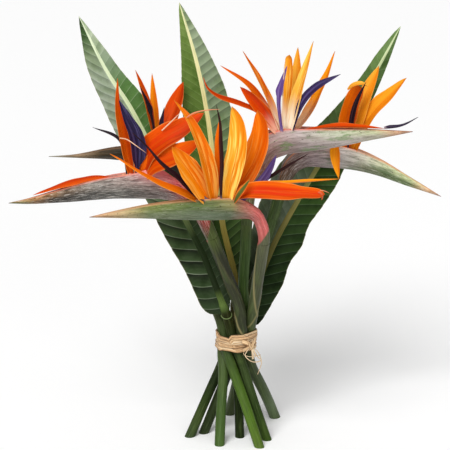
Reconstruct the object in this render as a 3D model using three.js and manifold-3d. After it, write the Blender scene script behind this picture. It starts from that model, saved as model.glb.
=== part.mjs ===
// Bird of paradise bouquet: five flower heads and three leaves, cut level and held by a raffia tie.
// Millimetres, +Z up. The cut ends stand on Z = 0, the front of the bouquet looks along -Y, and the
// origin is under the middle of its outline.
import * as THREE from 'three';
import { mergeVertices } from 'three/addons/utils/BufferGeometryUtils.js';
import Module from 'manifold-3d';

const wasm = await Module();
wasm.setup();

// Driving dimensions
const CLEARANCE = 0.35;
const OUTLINE_MIDDLE = { x: -3, y: -20 };
// The stalks are closest together at z, the raffia lies round them at the height of band
const TIE = { x: 4, y: 0, z: 106, band: 111.5, height: 21, thickness: 1.7 };
const STALK_RING = 13.9;
const NECK = 240;
const STALK_SIDES = 10;
const PETAL_THICKNESS = 1.1;
const LEAF_THICKNESS = 1.1;
const GROOVE_SHARE = 0.38;

// The eight cut stalks. foot is the middle of the cut end on the surface, slot the stalk's direction
// from the middle of the tie in degrees (the middle leaf is the core), radii those at the foot, in the
// tie and at the neck, and route the points that it passes above the tie.
const STALKS = {
  front_flower: {
    foot: [-3, 50], slot: 8, radii: [5.5, 5.6, 6.5],
    route: [[22, -2, 126], [27, -30, 182], [33, -62, 236]],
  },
  left_flower: {
    foot: [50, 40], slot: -43, radii: [5.5, 5.6, 7.2],
    route: [[11, -14, 142], [-4, -28, 188], [-22, -44, 240]],
  },
  far_left_flower: {
    foot: [30, -49], slot: -145, radii: [5.3, 5.5, 6.3],
    route: [[-15, -6, 128], [-27, 6, 167], [-27, 18, 214], [-26, 25, 240]],
  },
  upper_flower: {
    foot: [-32, -8], slot: 60, radii: [5.3, 5.5, 6.5],
    route: [[12, 0, 155], [14, 4, 198], [16, 8, 240]],
  },
  right_flower: {
    foot: [-14, -43], slot: 163, radii: [5.4, 5.5, 6.8],
    route: [[19, 8, 127], [28, 18, 179], [38, 27, 217], [45, 32, 240]],
  },
  left_leaf: {
    foot: [39, -28], slot: -94, radii: [5.3, 5.7, 5.6],
    route: [[-1, -14, 124], [-7, -17, 144], [-17, -14, 172], [-32, 0, 207]],
  },
  middle_leaf: {
    foot: [9, -20], slot: null, radii: [5.2, 5.5, 5.2],
    route: [[7, 10, 146], [3, 22, 172], [-1, 30, 189], [-9, 43, 223]],
  },
  right_leaf: {
    foot: [-47, -18], slot: 112, radii: [5.6, 5.6, 5.2],
    route: [[20, 22, 148], [34, 31, 175], [50, 44, 214], [65, 52, 240]],
  },
};

// Settling of the stalks: rows of centre points, a height step apart, are smoothed, drawn to their
// route and pushed apart until no two stalks meet
const ROW_STEP = 6;
const ROW_COUNT = NECK / ROW_STEP + 1;
const SETTLING_ROUNDS = 4000;
const STALK_SPACING = 0.9;

// The flower heads. beak is +1 or -1, the way in X that the spathe points. spathe lists its axis from
// the bend to the tip, half its greatest half width, up and down its depths above and below the axis,
// fullest where along it these are reached, and taper its slimming where that isn't the usual one.
// claws gives the two ends of the row of floret bases in its groove. Each sepal and tongue has its
// points from root to tip, its full width, the way its inner face looks, how deeply it is cupped, and
// its profile where that isn't the usual one.
const FLOWERS = {
  front_flower: {
    beak: -1,
    spathe: {
      axis: [[32, -69, 257], [23, -76, 274], [3, -82, 281], [-34, -88, 282], [-86, -88, 280],
        [-123, -86, 276], [-150, -82, 272]],
      half: 9.5, up: 11.5, down: 12.5, fullest: 0.34,
    },
    claws: [[-38, -87, 289], [8, -82, 288]],
    sepals: [
      { line: [[-20, -87, 288], [-26, -94, 323], [-33, -97, 350], [-44, -94, 376], [-60, -90, 398]],
        width: 20, face: [0.6, -0.7, 0.3], cup: 0.5, profile: 'spear' },
      { line: [[-24, -88, 288], [-34, -94, 307], [-44, -100, 324], [-53, -104, 338], [-62, -108, 353]],
        width: 27, face: [0.4, -0.8, 0.5], cup: 0.25, profile: 'broad' },
      { line: [[-32, -88, 289], [-54, -99, 303], [-75, -106, 314], [-95, -112, 327], [-115, -114, 341],
        [-125, -114, 347]], width: 10, face: [0.3, -0.7, 0.7], cup: 0.5, profile: 'lance' },
      { line: [[-17, -85, 288], [-14, -78, 327], [-15, -75, 353], [-13, -72, 377]], width: 9,
        face: [-0.6, -0.8, 0], cup: 0.4 },
      { line: [[-6, -86, 288], [-3, -89, 308], [1, -93, 327], [5, -96, 347], [6, -95, 363], [4, -92, 378],
        [-1, -88, 391]], width: 22, face: [-0.3, -1, 0], cup: 0.35, profile: 'full' },
      { line: [[-4, -82, 288], [11, -80, 311], [22, -76, 330], [28, -73, 348], [30, -70, 366],
        [26, -66, 383]], width: 24, face: [-0.5, -0.8, 0.2], cup: 0.35, profile: 'late' },
      { line: [[-1, -86, 290], [11, -91, 301], [30, -95, 304], [57, -98, 303], [82, -99, 302],
        [95, -99, 301]], width: 19, face: [0, -0.9, 0.4], cup: 0.45, profile: 'full' },
      { line: [[4, -81, 290], [20, -78, 305], [60, -73, 307], [113, -68, 310]], width: 6,
        face: [0, -0.3, 1], cup: 0.5 },
    ],
    tongues: [
      { line: [[-12, -89, 290], [-12, -97, 312], [-11, -101, 332], [-12, -101, 356], [-13, -97, 376],
        [-17, -93, 394]], width: 5.5, face: [-0.3, -1, 0], cup: 0.3, profile: 'broad' },
      { line: [[-26, -91, 291], [-41, -99, 303], [-57, -108, 321], [-74, -114, 338], [-88, -117, 356],
        [-102, -118, 370]], width: 9, face: [0.5, -0.6, 0.5], cup: 0.4, profile: 'lance' },
      { line: [[6, -78, 288], [31, -63, 308], [46, -58, 333]], width: 11, face: [0.5, -0.8, 0.2],
        cup: 0.4, profile: 'broad' },
      { line: [[8, -74, 290], [38, -54, 307], [80, -50, 333]], width: 5, face: [-0.4, -0.6, 0.8],
        cup: 0.4, profile: 'broad' },
    ],
  },
  left_flower: {
    beak: -1,
    spathe: {
      axis: [[-33, -48, 264], [-50, -50, 286], [-76, -50, 297], [-122, -46, 296], [-185, -38, 284],
        [-218, -33, 277], [-241, -30, 274]],
      half: 10.5, up: 14, down: 14.5, fullest: 0.42,
    },
    claws: [[-124, -46, 305], [-92, -49, 307]],
    sepals: [
      { line: [[-108, -47, 306], [-113, -50, 337], [-117, -52, 359], [-121, -53, 386], [-120, -53, 414]],
        width: 13, face: [0.6, -0.8, 0], cup: 0.45, profile: 'spear' },
      { line: [[-99, -49, 307], [-89, -54, 336], [-72, -59, 352], [-51, -60, 364], [-30, -56, 378]],
        width: 27, face: [-0.4, -0.9, 0.3], cup: 0.3, profile: 'broad' },
      { line: [[-97, -50, 306], [-84, -59, 323], [-63, -67, 334], [-48, -71, 342], [-34, -74, 352]],
        width: 26, face: [-0.2, -0.8, 0.5], cup: 0.3, profile: 'broad' },
      { line: [[-116, -47, 304], [-142, -44, 305], [-165, -41, 300], [-190, -37, 292], [-214, -34, 284]],
        width: 12, face: [0, -0.4, 1], cup: 0.25 },
    ],
    tongues: [
      { line: [[-102, -51, 307], [-100, -59, 339], [-103, -63, 357], [-110, -66, 374], [-118, -68, 394]],
        width: 18, face: [0.5, -0.9, 0], cup: 0.5, profile: 'barbed' },
      { line: [[-112, -44, 305], [-120, -35, 344], [-149, -28, 357]], width: 5, face: [0.5, -0.6, 0.6],
        cup: 0.4, profile: 'leafy' },
    ],
  },
  far_left_flower: {
    beak: -1,
    spathe: {
      axis: [[-28, 25, 262], [-42, 23, 286], [-66, 25, 305], [-95, 28, 313], [-124, 30, 315],
        [-174, 32, 312], [-203, 30, 312]],
      half: 8, up: 9, down: 9, fullest: 0.42,
      taper: [[0.4, 1], [0.55, 0.96], [0.64, 0.83], [0.75, 0.54], [0.87, 0.2], [0.94, 0.1], [1, 0.03]],
    },
    claws: [[-92, 28, 320], [-72, 26, 318]],
    sepals: [
      { line: [[-84, 26, 320], [-93, 20, 370], [-105, 16, 411]], width: 11, face: [0.8, -0.6, 0],
        cup: 0.5 },
      { line: [[-80, 29, 320], [-85, 32, 364], [-88, 36, 404]], width: 9, face: [-0.2, -1, 0], cup: 0.4 },
      { line: [[-76, 28, 319], [-72, 38, 341], [-63, 47, 365], [-54, 51, 392]], width: 22,
        face: [-0.5, -0.8, 0], cup: 0.35, profile: 'broad' },
    ],
    tongues: [
      { line: [[-83, 23, 320], [-90, 12, 368], [-100, 8, 395]], width: 7, face: [0.6, -0.8, 0],
        cup: 0.5 },
      { line: [[-77, 22, 320], [-77, 14, 352], [-74, 12, 371]], width: 6, face: [-0.3, -1, 0], cup: 0.4 },
    ],
  },
  upper_flower: {
    beak: 1,
    spathe: {
      axis: [[18, 10, 262], [21, 10, 284], [27, 11, 308], [38, 10, 326], [56, 9, 334], [82, 8, 336],
        [112, 8, 338], [142, 12, 340], [173, 17, 341], [198, 21, 342]],
      half: 10.5, up: 14, down: 15.5, fullest: 0.4,
    },
    claws: [[46, 10, 342], [76, 8, 345]],
    sepals: [
      { line: [[52, 7, 343], [33, 2, 392], [11, -4, 435]], width: 13, face: [0.9, -0.4, 0.3], cup: 0.45 },
      { line: [[51, 13, 342], [19, 22, 391], [-13, 28, 414]], width: 11, face: [0.6, -0.6, 0.5],
        cup: 0.45 },
      { line: [[51, 6, 342], [28, -6, 374], [8, -14, 398]], width: 16, face: [0.4, -0.9, 0.3], cup: 0.35,
        profile: 'broad' },
      { line: [[49, 6, 342], [28, -8, 368], [6, -18, 380], [-16, -24, 389], [-27, -27, 399],
        [-31, -29, 411]], width: 9, face: [0.3, -0.5, 0.8], cup: 0.5 },
      { line: [[57, 9, 343], [60, 5, 391], [61, 1, 430]], width: 11, face: [-0.4, -1, 0], cup: 0.4,
        profile: 'strap' },
      { line: [[61, 12, 343], [69, 20, 393], [71, 22, 435]], width: 14, face: [-0.2, -1, 0], cup: 0.45 },
      { line: [[62, 6, 343], [72, -3, 393], [78, -6, 415], [86, -8, 446]], width: 15,
        face: [-0.7, -0.7, 0], cup: 0.45, profile: 'spear' },
      { line: [[67, 11, 344], [79, 12, 358], [90, 15, 376], [97, 18, 391], [104, 19, 408], [111, 20, 431]],
        width: 15, face: [-0.8, -0.6, 0.2], cup: 0.45, profile: 'spear' },
      { line: [[70, 8, 345], [112, 5, 351], [166, 14, 347]], width: 9, face: [0, -0.4, 1], cup: 0.4 },
    ],
    tongues: [
      { line: [[54, 3, 344], [50, -10, 388], [58, -14, 421]], width: 9, face: [-0.3, -1, 0], cup: 0.5 },
      { line: [[65, 3, 345], [76, -8, 380], [91, -14, 398], [115, -16, 412]], width: 11,
        face: [-0.6, -0.7, 0.4], cup: 0.5, profile: 'leafy' },
    ],
    tip_tongue: { line: [[166, 15, 347], [186, 16, 350], [203, 17, 359]], width: 6, face: [0, -0.5, 1],
      cup: 0.4, profile: 'lance' },
  },
  right_flower: {
    beak: 1,
    spathe: {
      axis: [[52, 36, 264], [60, 39, 288], [68, 42, 301], [82, 45, 309], [107, 46, 310], [134, 46, 306],
        [165, 45, 296], [199, 43, 280], [234, 40, 264]],
      half: 10.5, up: 13, down: 14.5, fullest: 0.5,
    },
    claws: [[112, 46, 315], [142, 46, 311]],
    sepals: [
      { line: [[125, 45, 314], [126, 44, 346], [130, 41, 368], [136, 38, 385], [138, 36, 391]], width: 21,
        face: [0.3, -1, 0], cup: 0.35, profile: 'strap' },
      { line: [[130, 47, 313], [146, 49, 372], [162, 50, 410]], width: 18, face: [-0.4, -0.9, 0],
        cup: 0.45, profile: 'broad' },
      { line: [[136, 45, 312], [148, 44, 346], [161, 42, 365], [175, 39, 380], [191, 36, 399]], width: 21,
        face: [-0.7, -0.6, 0.4], cup: 0.45, profile: 'broad' },
      { line: [[126, 45, 315], [118, 37, 328], [114, 28, 319], [118, 25, 288]], width: 12,
        face: [-0.3, 1, 0.1], cup: 0.3 },
    ],
    tongues: [
      { line: [[128, 42, 314], [135, 33, 368], [146, 27, 396]], width: 6, face: [-0.3, -1, 0], cup: 0.5,
        profile: 'leafy' },
    ],
  },
};

// The leaves. base is the height where the petiole turns into the blade, blade lists the midrib from
// there to the tip, halves the greatest widths left and right of it, outlines give the share of each
// width along it, and fold how far the halves lean towards the face. waves counts the ripples of the
// margins.
const LEAVES = {
  left_leaf: {
    base: 144,
    blade: [[-17, -14, 172], [-32, 0, 207], [-51, 20, 240], [-80, 42, 297], [-112, 52, 361],
      [-139, 56, 403], [-169, 62, 463]],
    halves: [31, 21], fold: [0.12, 0.12], face: [0.15, -1, 0.1], waves: 4,
    outlines: [
      [[0, 0.3], [0.035, 0.74], [0.12, 0.8], [0.3, 0.95], [0.5, 1], [0.7, 0.88], [0.87, 0.52], [1, 0.03]],
      [[0, 0.12], [0.035, 0.5], [0.12, 0.72], [0.3, 0.95], [0.5, 1], [0.7, 0.88], [0.87, 0.52], [1, 0.03]],
    ],
  },
  middle_leaf: {
    base: 144,
    blade: [[3, 24, 174], [-5, 40, 206], [-10, 48, 226], [-20, 58, 291], [-27, 61, 347], [-39, 60, 410],
      [-58, 54, 479]],
    halves: [30, 31], fold: [0.14, 0.1], face: [0, -1, 0.1], waves: 3.5,
    outlines: [
      [[0, 0.12], [0.12, 0.3], [0.25, 0.78], [0.4, 0.96], [0.55, 1], [0.72, 0.8], [0.88, 0.38], [1, 0.03]],
      [[0, 0.12], [0.12, 0.3], [0.25, 0.78], [0.4, 0.96], [0.55, 1], [0.72, 0.8], [0.88, 0.38], [1, 0.03]],
    ],
  },
  right_leaf: {
    base: 126,
    blade: [[16, 21, 132], [22, 24, 144], [33, 32, 174], [50, 45, 212], [76, 59, 257], [103, 69, 301],
      [133, 76, 352], [158, 77, 393], [187, 74, 450]],
    halves: [40, 30], fold: [0.08, 0.2], face: [-0.1, -1, 0.1], waves: 4.5,
    outlines: [
      [[0, 0.1], [0.07, 0.3], [0.15, 0.49], [0.23, 0.68], [0.35, 0.95], [0.45, 1], [0.52, 0.88],
        [0.59, 0.69], [0.66, 0.5], [0.73, 0.37], [0.82, 0.29], [0.89, 0.24], [0.95, 0.14], [1, 0.03]],
      [[0, 0.5], [0.02, 0.62], [0.07, 0.7], [0.14, 0.9], [0.21, 0.8], [0.28, 0.98], [0.35, 0.8],
        [0.42, 0.92], [0.51, 0.95], [0.6, 0.78], [0.7, 0.58], [0.81, 0.37], [0.91, 0.2], [1, 0.03]],
    ],
  },
};

const FINISHES = {
  flower_stalk: { color: 0x5e7d49, roughness: 0.5, metalness: 0 },
  spathe: { color: 0x7d8a6a, roughness: 0.45, metalness: 0 },
  sepals: { color: 0xf27a1a, roughness: 0.5, metalness: 0 },
  tongue: { color: 0x3b2f63, roughness: 0.5, metalness: 0 },
  leaf: { color: 0x35592f, roughness: 0.5, metalness: 0 },
  raffia: { color: 0xc9a86a, roughness: 0.85, metalness: 0 },
};

// Small helpers
const vector = ([x, y, z]) => new THREE.Vector3(x, y, z);
const clamp01 = (x) => Math.min(Math.max(x, 0), 1);
const mix = (a, b, t) => a + (b - a) * t;
const radians = (degrees) => degrees * Math.PI / 180;

function smooth(from, to, x) {
  const t = clamp01((x - from) / (to - from));
  return t * t * (3 - 2 * t);
}

// The value at t of a line through [t, value] stops
function ramp(stops, t) {
  const last = stops.findIndex(([at]) => at >= t);
  if (last === 0) return stops[0][1];
  if (last < 0) return stops[stops.length - 1][1];
  const [t0, v0] = stops[last - 1];
  const [t1, v1] = stops[last];
  return mix(v0, v1, (t - t0) / (t1 - t0));
}

// Side and up directions at right angles to a tangent, the side nearest to the one asked for
function frame(tangent, wantedSide) {
  const side = wantedSide.clone().addScaledVector(tangent, -wantedSide.dot(tangent)).normalize();
  const up = side.clone().cross(tangent);
  return { side, up };
}

// Points along a curve from a parameter to its end, at equal distances, or closer at its start where
// ease is above 1
function stations(curve, start, count, ease = 1) {
  const fine = 240;
  const points = [];
  for (let i = 0; i <= fine; i += 1) points.push(curve.getPoint(mix(start, 1, i / fine)));
  const lengths = [0];
  for (let i = 1; i <= fine; i += 1) lengths.push(lengths[i - 1] + points[i].distanceTo(points[i - 1]));
  const total = lengths[fine];
  const result = [];
  for (let k = 0; k <= count; k += 1) {
    const along = (k / count) ** ease;
    const wanted = Math.min(total * along, total);
    const i = Math.max(lengths.findIndex((length) => length >= wanted), 1);
    const share = (wanted - lengths[i - 1]) / (lengths[i] - lengths[i - 1]);
    const parameter = mix(start, 1, (i - 1 + share) / fine);
    const point = curve.getPoint(parameter);
    result.push({ point, tangent: curve.getTangent(parameter), along });
  }
  result.total = total;
  return result;
}

function geometryFrom(points, faces) {
  const geometry = new THREE.BufferGeometry();
  const positions = points.flatMap((p) => [p.x, p.y, p.z]);
  geometry.setAttribute('position', new THREE.Float32BufferAttribute(positions, 3));
  geometry.setIndex(faces);
  return geometry;
}

// A closed body through rings of points, each ring turning from up to side about the way ahead
function loft(rings) {
  const n = rings[0].length;
  const last = rings.length - 1;
  const points = rings.flat();
  const faces = [];
  for (let i = 0; i < last; i += 1) {
    for (let j = 0; j < n; j += 1) {
      const a = i * n + j;
      const b = i * n + (j + 1) % n;
      faces.push(a, b, b + n, a, b + n, a + n);
    }
  }
  const centre = (ring) => ring.reduce((sum, p) => sum.add(p), new THREE.Vector3()).divideScalar(n);
  const startCentre = points.push(centre(rings[0])) - 1;
  const endCentre = points.push(centre(rings[last])) - 1;
  for (let j = 0; j < n; j += 1) {
    const next = (j + 1) % n;
    faces.push(startCentre, next, j, endCentre, last * n + j, last * n + next);
  }
  return geometryFrom(points, faces);
}

// A closed thin body between two grids of points, its faces split alike on both sides
function sheet(top, bottom) {
  const rows = top.length - 1;
  const columns = top[0].length - 1;
  const points = [...top.flat(), ...bottom.flat()];
  const upper = (i, j) => i * (columns + 1) + j;
  const lower = (i, j) => points.length / 2 + upper(i, j);
  const faces = [];
  for (let i = 0; i < rows; i += 1) {
    for (let j = 0; j < columns; j += 1) {
      faces.push(upper(i, j), upper(i, j + 1), upper(i + 1, j + 1));
      faces.push(upper(i, j), upper(i + 1, j + 1), upper(i + 1, j));
      faces.push(lower(i, j), lower(i + 1, j + 1), lower(i, j + 1));
      faces.push(lower(i, j), lower(i + 1, j), lower(i + 1, j + 1));
    }
    faces.push(upper(i, 0), upper(i + 1, 0), lower(i, 0));
    faces.push(upper(i + 1, 0), lower(i + 1, 0), lower(i, 0));
    faces.push(upper(i, columns), lower(i, columns), upper(i + 1, columns));
    faces.push(upper(i + 1, columns), lower(i, columns), lower(i + 1, columns));
  }
  for (let j = 0; j < columns; j += 1) {
    faces.push(upper(0, j), lower(0, j), upper(0, j + 1));
    faces.push(upper(0, j + 1), lower(0, j), lower(0, j + 1));
    faces.push(upper(rows, j), upper(rows, j + 1), lower(rows, j));
    faces.push(upper(rows, j + 1), lower(rows, j + 1), lower(rows, j));
  }
  return geometryFrom(points, faces);
}

// Boolean solids
function solidOf(geometry) {
  const merged = mergeVertices(geometry, 1e-4);
  return new wasm.Manifold(new wasm.Mesh({
    numProp: 3,
    vertProperties: new Float32Array(merged.attributes.position.array),
    triVerts: new Uint32Array(merged.index.array),
  }));
}

// The largest body of a solid, its short edges closed up
function geometryOf(solid) {
  const bodies = solid.simplify(0.01).decompose();
  bodies.sort((a, b) => b.volume() - a.volume());
  const mesh = bodies[0].getMesh();
  const geometry = new THREE.BufferGeometry();
  geometry.setAttribute('position', new THREE.BufferAttribute(new Float32Array(mesh.vertProperties), 3));
  geometry.setIndex(new THREE.BufferAttribute(new Uint32Array(mesh.triVerts), 1));
  return geometry;
}

const joined = (solids) => solids.reduce((whole, solid) => whole.add(solid));

// Centre lines of the stalks
function startRows(stalk) {
  const [x, y] = stalk.foot;
  const angle = radians(stalk.slot ?? 0);
  const reach = stalk.slot === null ? 0 : STALK_RING;
  const waist = [TIE.x + reach * Math.cos(angle), TIE.y + reach * Math.sin(angle), TIE.z];
  const knots = [[x, y, 0], waist, ...stalk.route];
  const rows = [];
  for (let k = 0; k < ROW_COUNT; k += 1) {
    const z = k * ROW_STEP;
    rows.push(new THREE.Vector3(
      ramp(knots.map((p) => [p[2], p[0]]), z),
      ramp(knots.map((p) => [p[2], p[1]]), z),
      z,
    ));
  }
  const held = rows.map(() => 0.004);
  for (const p of stalk.route) {
    const k = Math.round(p[2] / ROW_STEP);
    held[k] = 0.05;
  }
  held[0] = 1;
  const [foot, tie, neck] = stalk.radii;
  const thickness = [[0, foot], [TIE.z, tie], [170, mix(tie, neck, 0.6)], [NECK, neck]];
  const radii = rows.map((p) => ramp(thickness, p.z));
  return { rows, wanted: rows.map((p) => p.clone()), held, radii };
}

function straighten({ rows, wanted, held }) {
  const bends = rows.map((p, k) => {
    if (k === 0 || k === ROW_COUNT - 1) return new THREE.Vector3();
    return rows[k - 1].clone().add(rows[k + 1]).addScaledVector(p, -2);
  });
  rows.forEach((p, k) => {
    p.addScaledVector(bends[k], 0.2);
    if (k > 0) p.addScaledVector(bends[k - 1], -0.1);
    if (k < ROW_COUNT - 1) p.addScaledVector(bends[k + 1], -0.1);
    p.lerp(wanted[k], held[k]);
  });
}

function slopes({ rows }) {
  return rows.map((p, k) => {
    const above = rows[Math.min(k + 1, ROW_COUNT - 1)];
    const below = rows[Math.max(k - 1, 0)];
    return above.clone().sub(below).divideScalar(above.z - below.z);
  });
}

function pushApart(one, other, slopesOne, slopesOther) {
  for (let k = 0; k < ROW_COUNT; k += 1) {
    const away = one.rows[k].clone().sub(other.rows[k]);
    const distance = away.length() + 1e-9;
    away.divideScalar(distance);
    const turning = slopesOne[k].clone().sub(slopesOther[k]);
    const leaning = slopesOne[k].clone().add(slopesOther[k]).multiplyScalar(0.5);
    const across = turning.x * away.y - turning.y * away.x;
    const along = leaning.x * away.x + leaning.y * away.y;
    const slant = Math.sqrt(1 + 0.25 * across * across) * Math.sqrt(1 + along * along);
    const needed = (one.radii[k] + other.radii[k] + STALK_SPACING) * slant;
    if (needed > distance) {
      one.rows[k].addScaledVector(away, 0.3 * (needed - distance));
      other.rows[k].addScaledVector(away, -0.3 * (needed - distance));
    }
  }
}

function drawIntoTie({ rows }) {
  for (const p of rows) {
    const fromAxis = new THREE.Vector3(p.x - TIE.x, p.y - TIE.y, 0);
    const excess = Math.max(fromAxis.length() - STALK_RING, 0);
    const grip = 0.3 * Math.exp(-(((p.z - TIE.z) / 16) ** 2));
    p.addScaledVector(fromAxis.normalize(), -excess * grip);
  }
}

function settleStalks() {
  const lines = Object.fromEntries(Object.entries(STALKS).map(([name, stalk]) => [name, startRows(stalk)]));
  const all = Object.values(lines);
  for (let round = 0; round < SETTLING_ROUNDS; round += 1) {
    all.forEach(straighten);
    const leanings = all.map(slopes);
    for (let pass = 0; pass < 2; pass += 1) {
      all.forEach((one, i) => {
        for (let j = i + 1; j < all.length; j += 1) pushApart(one, all[j], leanings[i], leanings[j]);
      });
    }
    all.forEach(drawIntoTie);
  }
  for (const line of all) line.curve = new THREE.CatmullRomCurve3(line.rows, false, 'catmullrom', 0.5);
  return lines;
}

const LINES = settleStalks();

// Point, tangent and radius of a stalk at a height
function stalkAt(line, z) {
  const parameter = z / NECK;
  const row = z / ROW_STEP;
  const low = Math.min(Math.floor(row), ROW_COUNT - 2);
  return {
    point: line.curve.getPoint(parameter),
    tangent: line.curve.getTangent(parameter),
    radius: mix(line.radii[low], line.radii[low + 1], row - low),
  };
}

// Heights of a stalk's rings, closest in the tie where the stalks press on each other
const STALK_HEIGHTS = [0, 26, 52, 70, 81, 90, 98, 106, 114, 122, 132, 144, 160, 184, 212];

// A ring on a slanted stalk, moved along it to lie level on the surface
function cutLevel(ring, tangent) {
  return ring.map((p) => p.addScaledVector(tangent, -p.z / tangent.z));
}

function flowerStalk(name) {
  const line = LINES[name];
  const side = new THREE.Vector3(0, -FLOWERS[name].beak, 0);
  const roundRing = ({ point, tangent, radius }) => {
    const axes = frame(tangent, side);
    const ring = [];
    for (let j = 0; j < STALK_SIDES; j += 1) {
      const angle = 2 * Math.PI * j / STALK_SIDES;
      ring.push(point.clone().addScaledVector(axes.side, radius * Math.sin(angle))
        .addScaledVector(axes.up, radius * Math.cos(angle)));
    }
    return ring;
  };
  const rings = STALK_HEIGHTS.map((z) => roundRing(stalkAt(line, z)));
  cutLevel(rings[0], stalkAt(line, 0).tangent);
  const { point, tangent } = spatheStations(name)[0];
  point.addScaledVector(tangent, -CLEARANCE);
  rings.push(roundRing({ point, tangent, radius: line.radii[ROW_COUNT - 1] }));
  return loft(rings);
}

// The axis of a spathe from the neck to the tip
function spatheStations(name) {
  const neck = LINES[name].rows.slice(-3);
  const points = [...neck, ...FLOWERS[name].spathe.axis.map(vector)];
  const curve = new THREE.CatmullRomCurve3(points, false, 'centripetal');
  return stations(curve, 2 / (curve.points.length - 1), 17);
}

// A point of the spathe's section. Angle 0 is the top, where a groove g deep opens between the rims
// at 60 degrees each way; below them the sides swell and meet in a keel. round is 1 on the stalk.
function spatheSection(angle, size) {
  const turn = Math.abs(angle);
  const sign = Math.sign(angle);
  const rim = radians(60);
  let x;
  let y;
  if (turn < rim) {
    x = 0.6 * size.half * turn / rim;
    y = size.up - size.groove * (1 - turn / rim);
  } else {
    const down = (turn - rim) / (Math.PI - rim);
    x = size.half * (1 - down) * (0.6 + 2.6 * down);
    y = mix(size.up, -size.down, down);
  }
  return {
    x: sign * mix(x, size.radius * Math.sin(turn), size.round),
    y: mix(y, size.radius * Math.cos(turn), size.round),
  };
}

function spatheSize(spathe, radius, along) {
  const swelling = smooth(0.08, spathe.fullest, along);
  const narrowing = Math.max(along - 0.4, 0) / 0.6;
  const taper = spathe.taper ? ramp(spathe.taper, along) : 1.02 - narrowing ** 1.35;
  const open = smooth(spathe.fullest - 0.16, spathe.fullest, along) * (1 - smooth(0.6, 0.85, along));
  return {
    radius,
    round: 1 - smooth(0.05, 0.3, along),
    half: mix(radius, spathe.half, swelling) * taper,
    up: mix(radius, spathe.up, swelling) * taper,
    down: mix(radius, spathe.down, swelling) * taper,
    groove: GROOVE_SHARE * (spathe.up + spathe.down) * open,
  };
}

function spatheGeometry(name, grow = 0) {
  const { spathe, beak } = FLOWERS[name];
  const wanted = new THREE.Vector3(0, -beak, 0);
  const sides = 12;
  const rings = spatheStations(name).map(({ point, tangent, along }) => {
    const axes = frame(tangent, wanted);
    const size = spatheSize(spathe, LINES[name].radii[ROW_COUNT - 1], along);
    const ring = [];
    for (let j = 0; j < sides; j += 1) {
      const angle = 2 * Math.PI * (j > sides / 2 ? j - sides : j) / sides;
      const { x, y } = spatheSection(angle, {
        ...size,
        radius: size.radius + grow,
        half: size.half + 1.3 * grow,
        up: size.up + 1.3 * grow,
        down: size.down + 1.5 * grow,
        groove: Math.max(size.groove - 1.3 * grow, 0),
      });
      ring.push(point.clone().addScaledVector(axes.side, x).addScaledVector(axes.up, y));
    }
    return ring;
  });
  return loft(rings);
}

// A petal: a cupped blade along its line. Its profile gives its half width along it from 0 to 1.
// Sepals are leafy and tongues arrow shaped where the petal names no other profile.
const PROFILES = {
  leafy: [[0, 0.22], [0.14, 0.38], [0.35, 0.85], [0.52, 1], [0.7, 0.84], [0.88, 0.42], [1, 0.07]],
  spear: [[0, 0.35], [0.12, 0.75], [0.28, 1], [0.45, 0.93], [0.65, 0.7], [0.82, 0.4], [1, 0.07]],
  broad: [[0, 0.4], [0.15, 0.75], [0.38, 1], [0.62, 0.93], [0.8, 0.66], [0.92, 0.36], [1, 0.07]],
  late: [[0, 0.25], [0.2, 0.5], [0.45, 0.85], [0.65, 1], [0.8, 0.85], [0.92, 0.45], [1, 0.07]],
  full: [[0, 0.35], [0.12, 0.7], [0.3, 0.93], [0.46, 1], [0.66, 0.93], [0.85, 0.68], [1, 0.12]],
  barbed: [[0, 0.2], [0.16, 0.28], [0.26, 0.85], [0.36, 1], [0.6, 0.85], [0.8, 0.5], [1, 0.07]],
  strap: [[0, 0.5], [0.2, 0.85], [0.5, 1], [0.85, 0.92], [1, 0.6]],
  lance: [[0, 0.6], [0.15, 1], [0.35, 0.82], [0.6, 0.5], [0.8, 0.28], [1, 0.12]],
  arrow: [[0, 0.35], [0.3, 0.4], [0.5, 0.55], [0.62, 1], [0.7, 0.72], [0.88, 0.35], [1, 0.12]],
};

const SEPAL_ROWS = 7;
const SEPAL_COLUMNS = 4;
const TONGUE_ROWS = 8;
const TONGUE_COLUMNS = 2;

function blade(petal, profile, rows, columns, grow = 0) {
  const curve = new THREE.CatmullRomCurve3(petal.line.map(vector), false, 'centripetal');
  const face = vector(petal.face);
  const half = petal.width / 2;
  const top = [];
  const bottom = [];
  for (const { point, tangent, along } of stations(curve, 0, rows)) {
    const end = along === 0 ? -grow : along === 1 ? grow : 0;
    const middle = point.clone().addScaledVector(tangent, end);
    const axes = frame(tangent, face.clone().cross(tangent).negate());
    const reach = Math.max(half * ramp(profile, along), 0.6) + grow;
    const rise = petal.cup * half * ramp(profile, along);
    const upperRow = [];
    const lowerRow = [];
    for (let j = 0; j <= columns; j += 1) {
      const v = 2 * j / columns - 1;
      const slope = (1.5 * petal.cup) * Math.sign(v) * Math.abs(v) ** 0.5;
      const out = axes.up.clone().addScaledVector(axes.side, -slope).normalize();
      const on = middle.clone().addScaledVector(axes.side, v * reach)
        .addScaledVector(axes.up, rise * Math.abs(v) ** 1.5);
      const thickness = PETAL_THICKNESS * mix(1.5, 0.9, Math.abs(v)) / 2 + grow;
      upperRow.push(on.clone().addScaledVector(out, thickness));
      lowerRow.push(on.clone().addScaledVector(out, -thickness));
    }
    top.push(upperRow);
    bottom.push(lowerRow);
  }
  return sheet(top, bottom);
}

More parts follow.
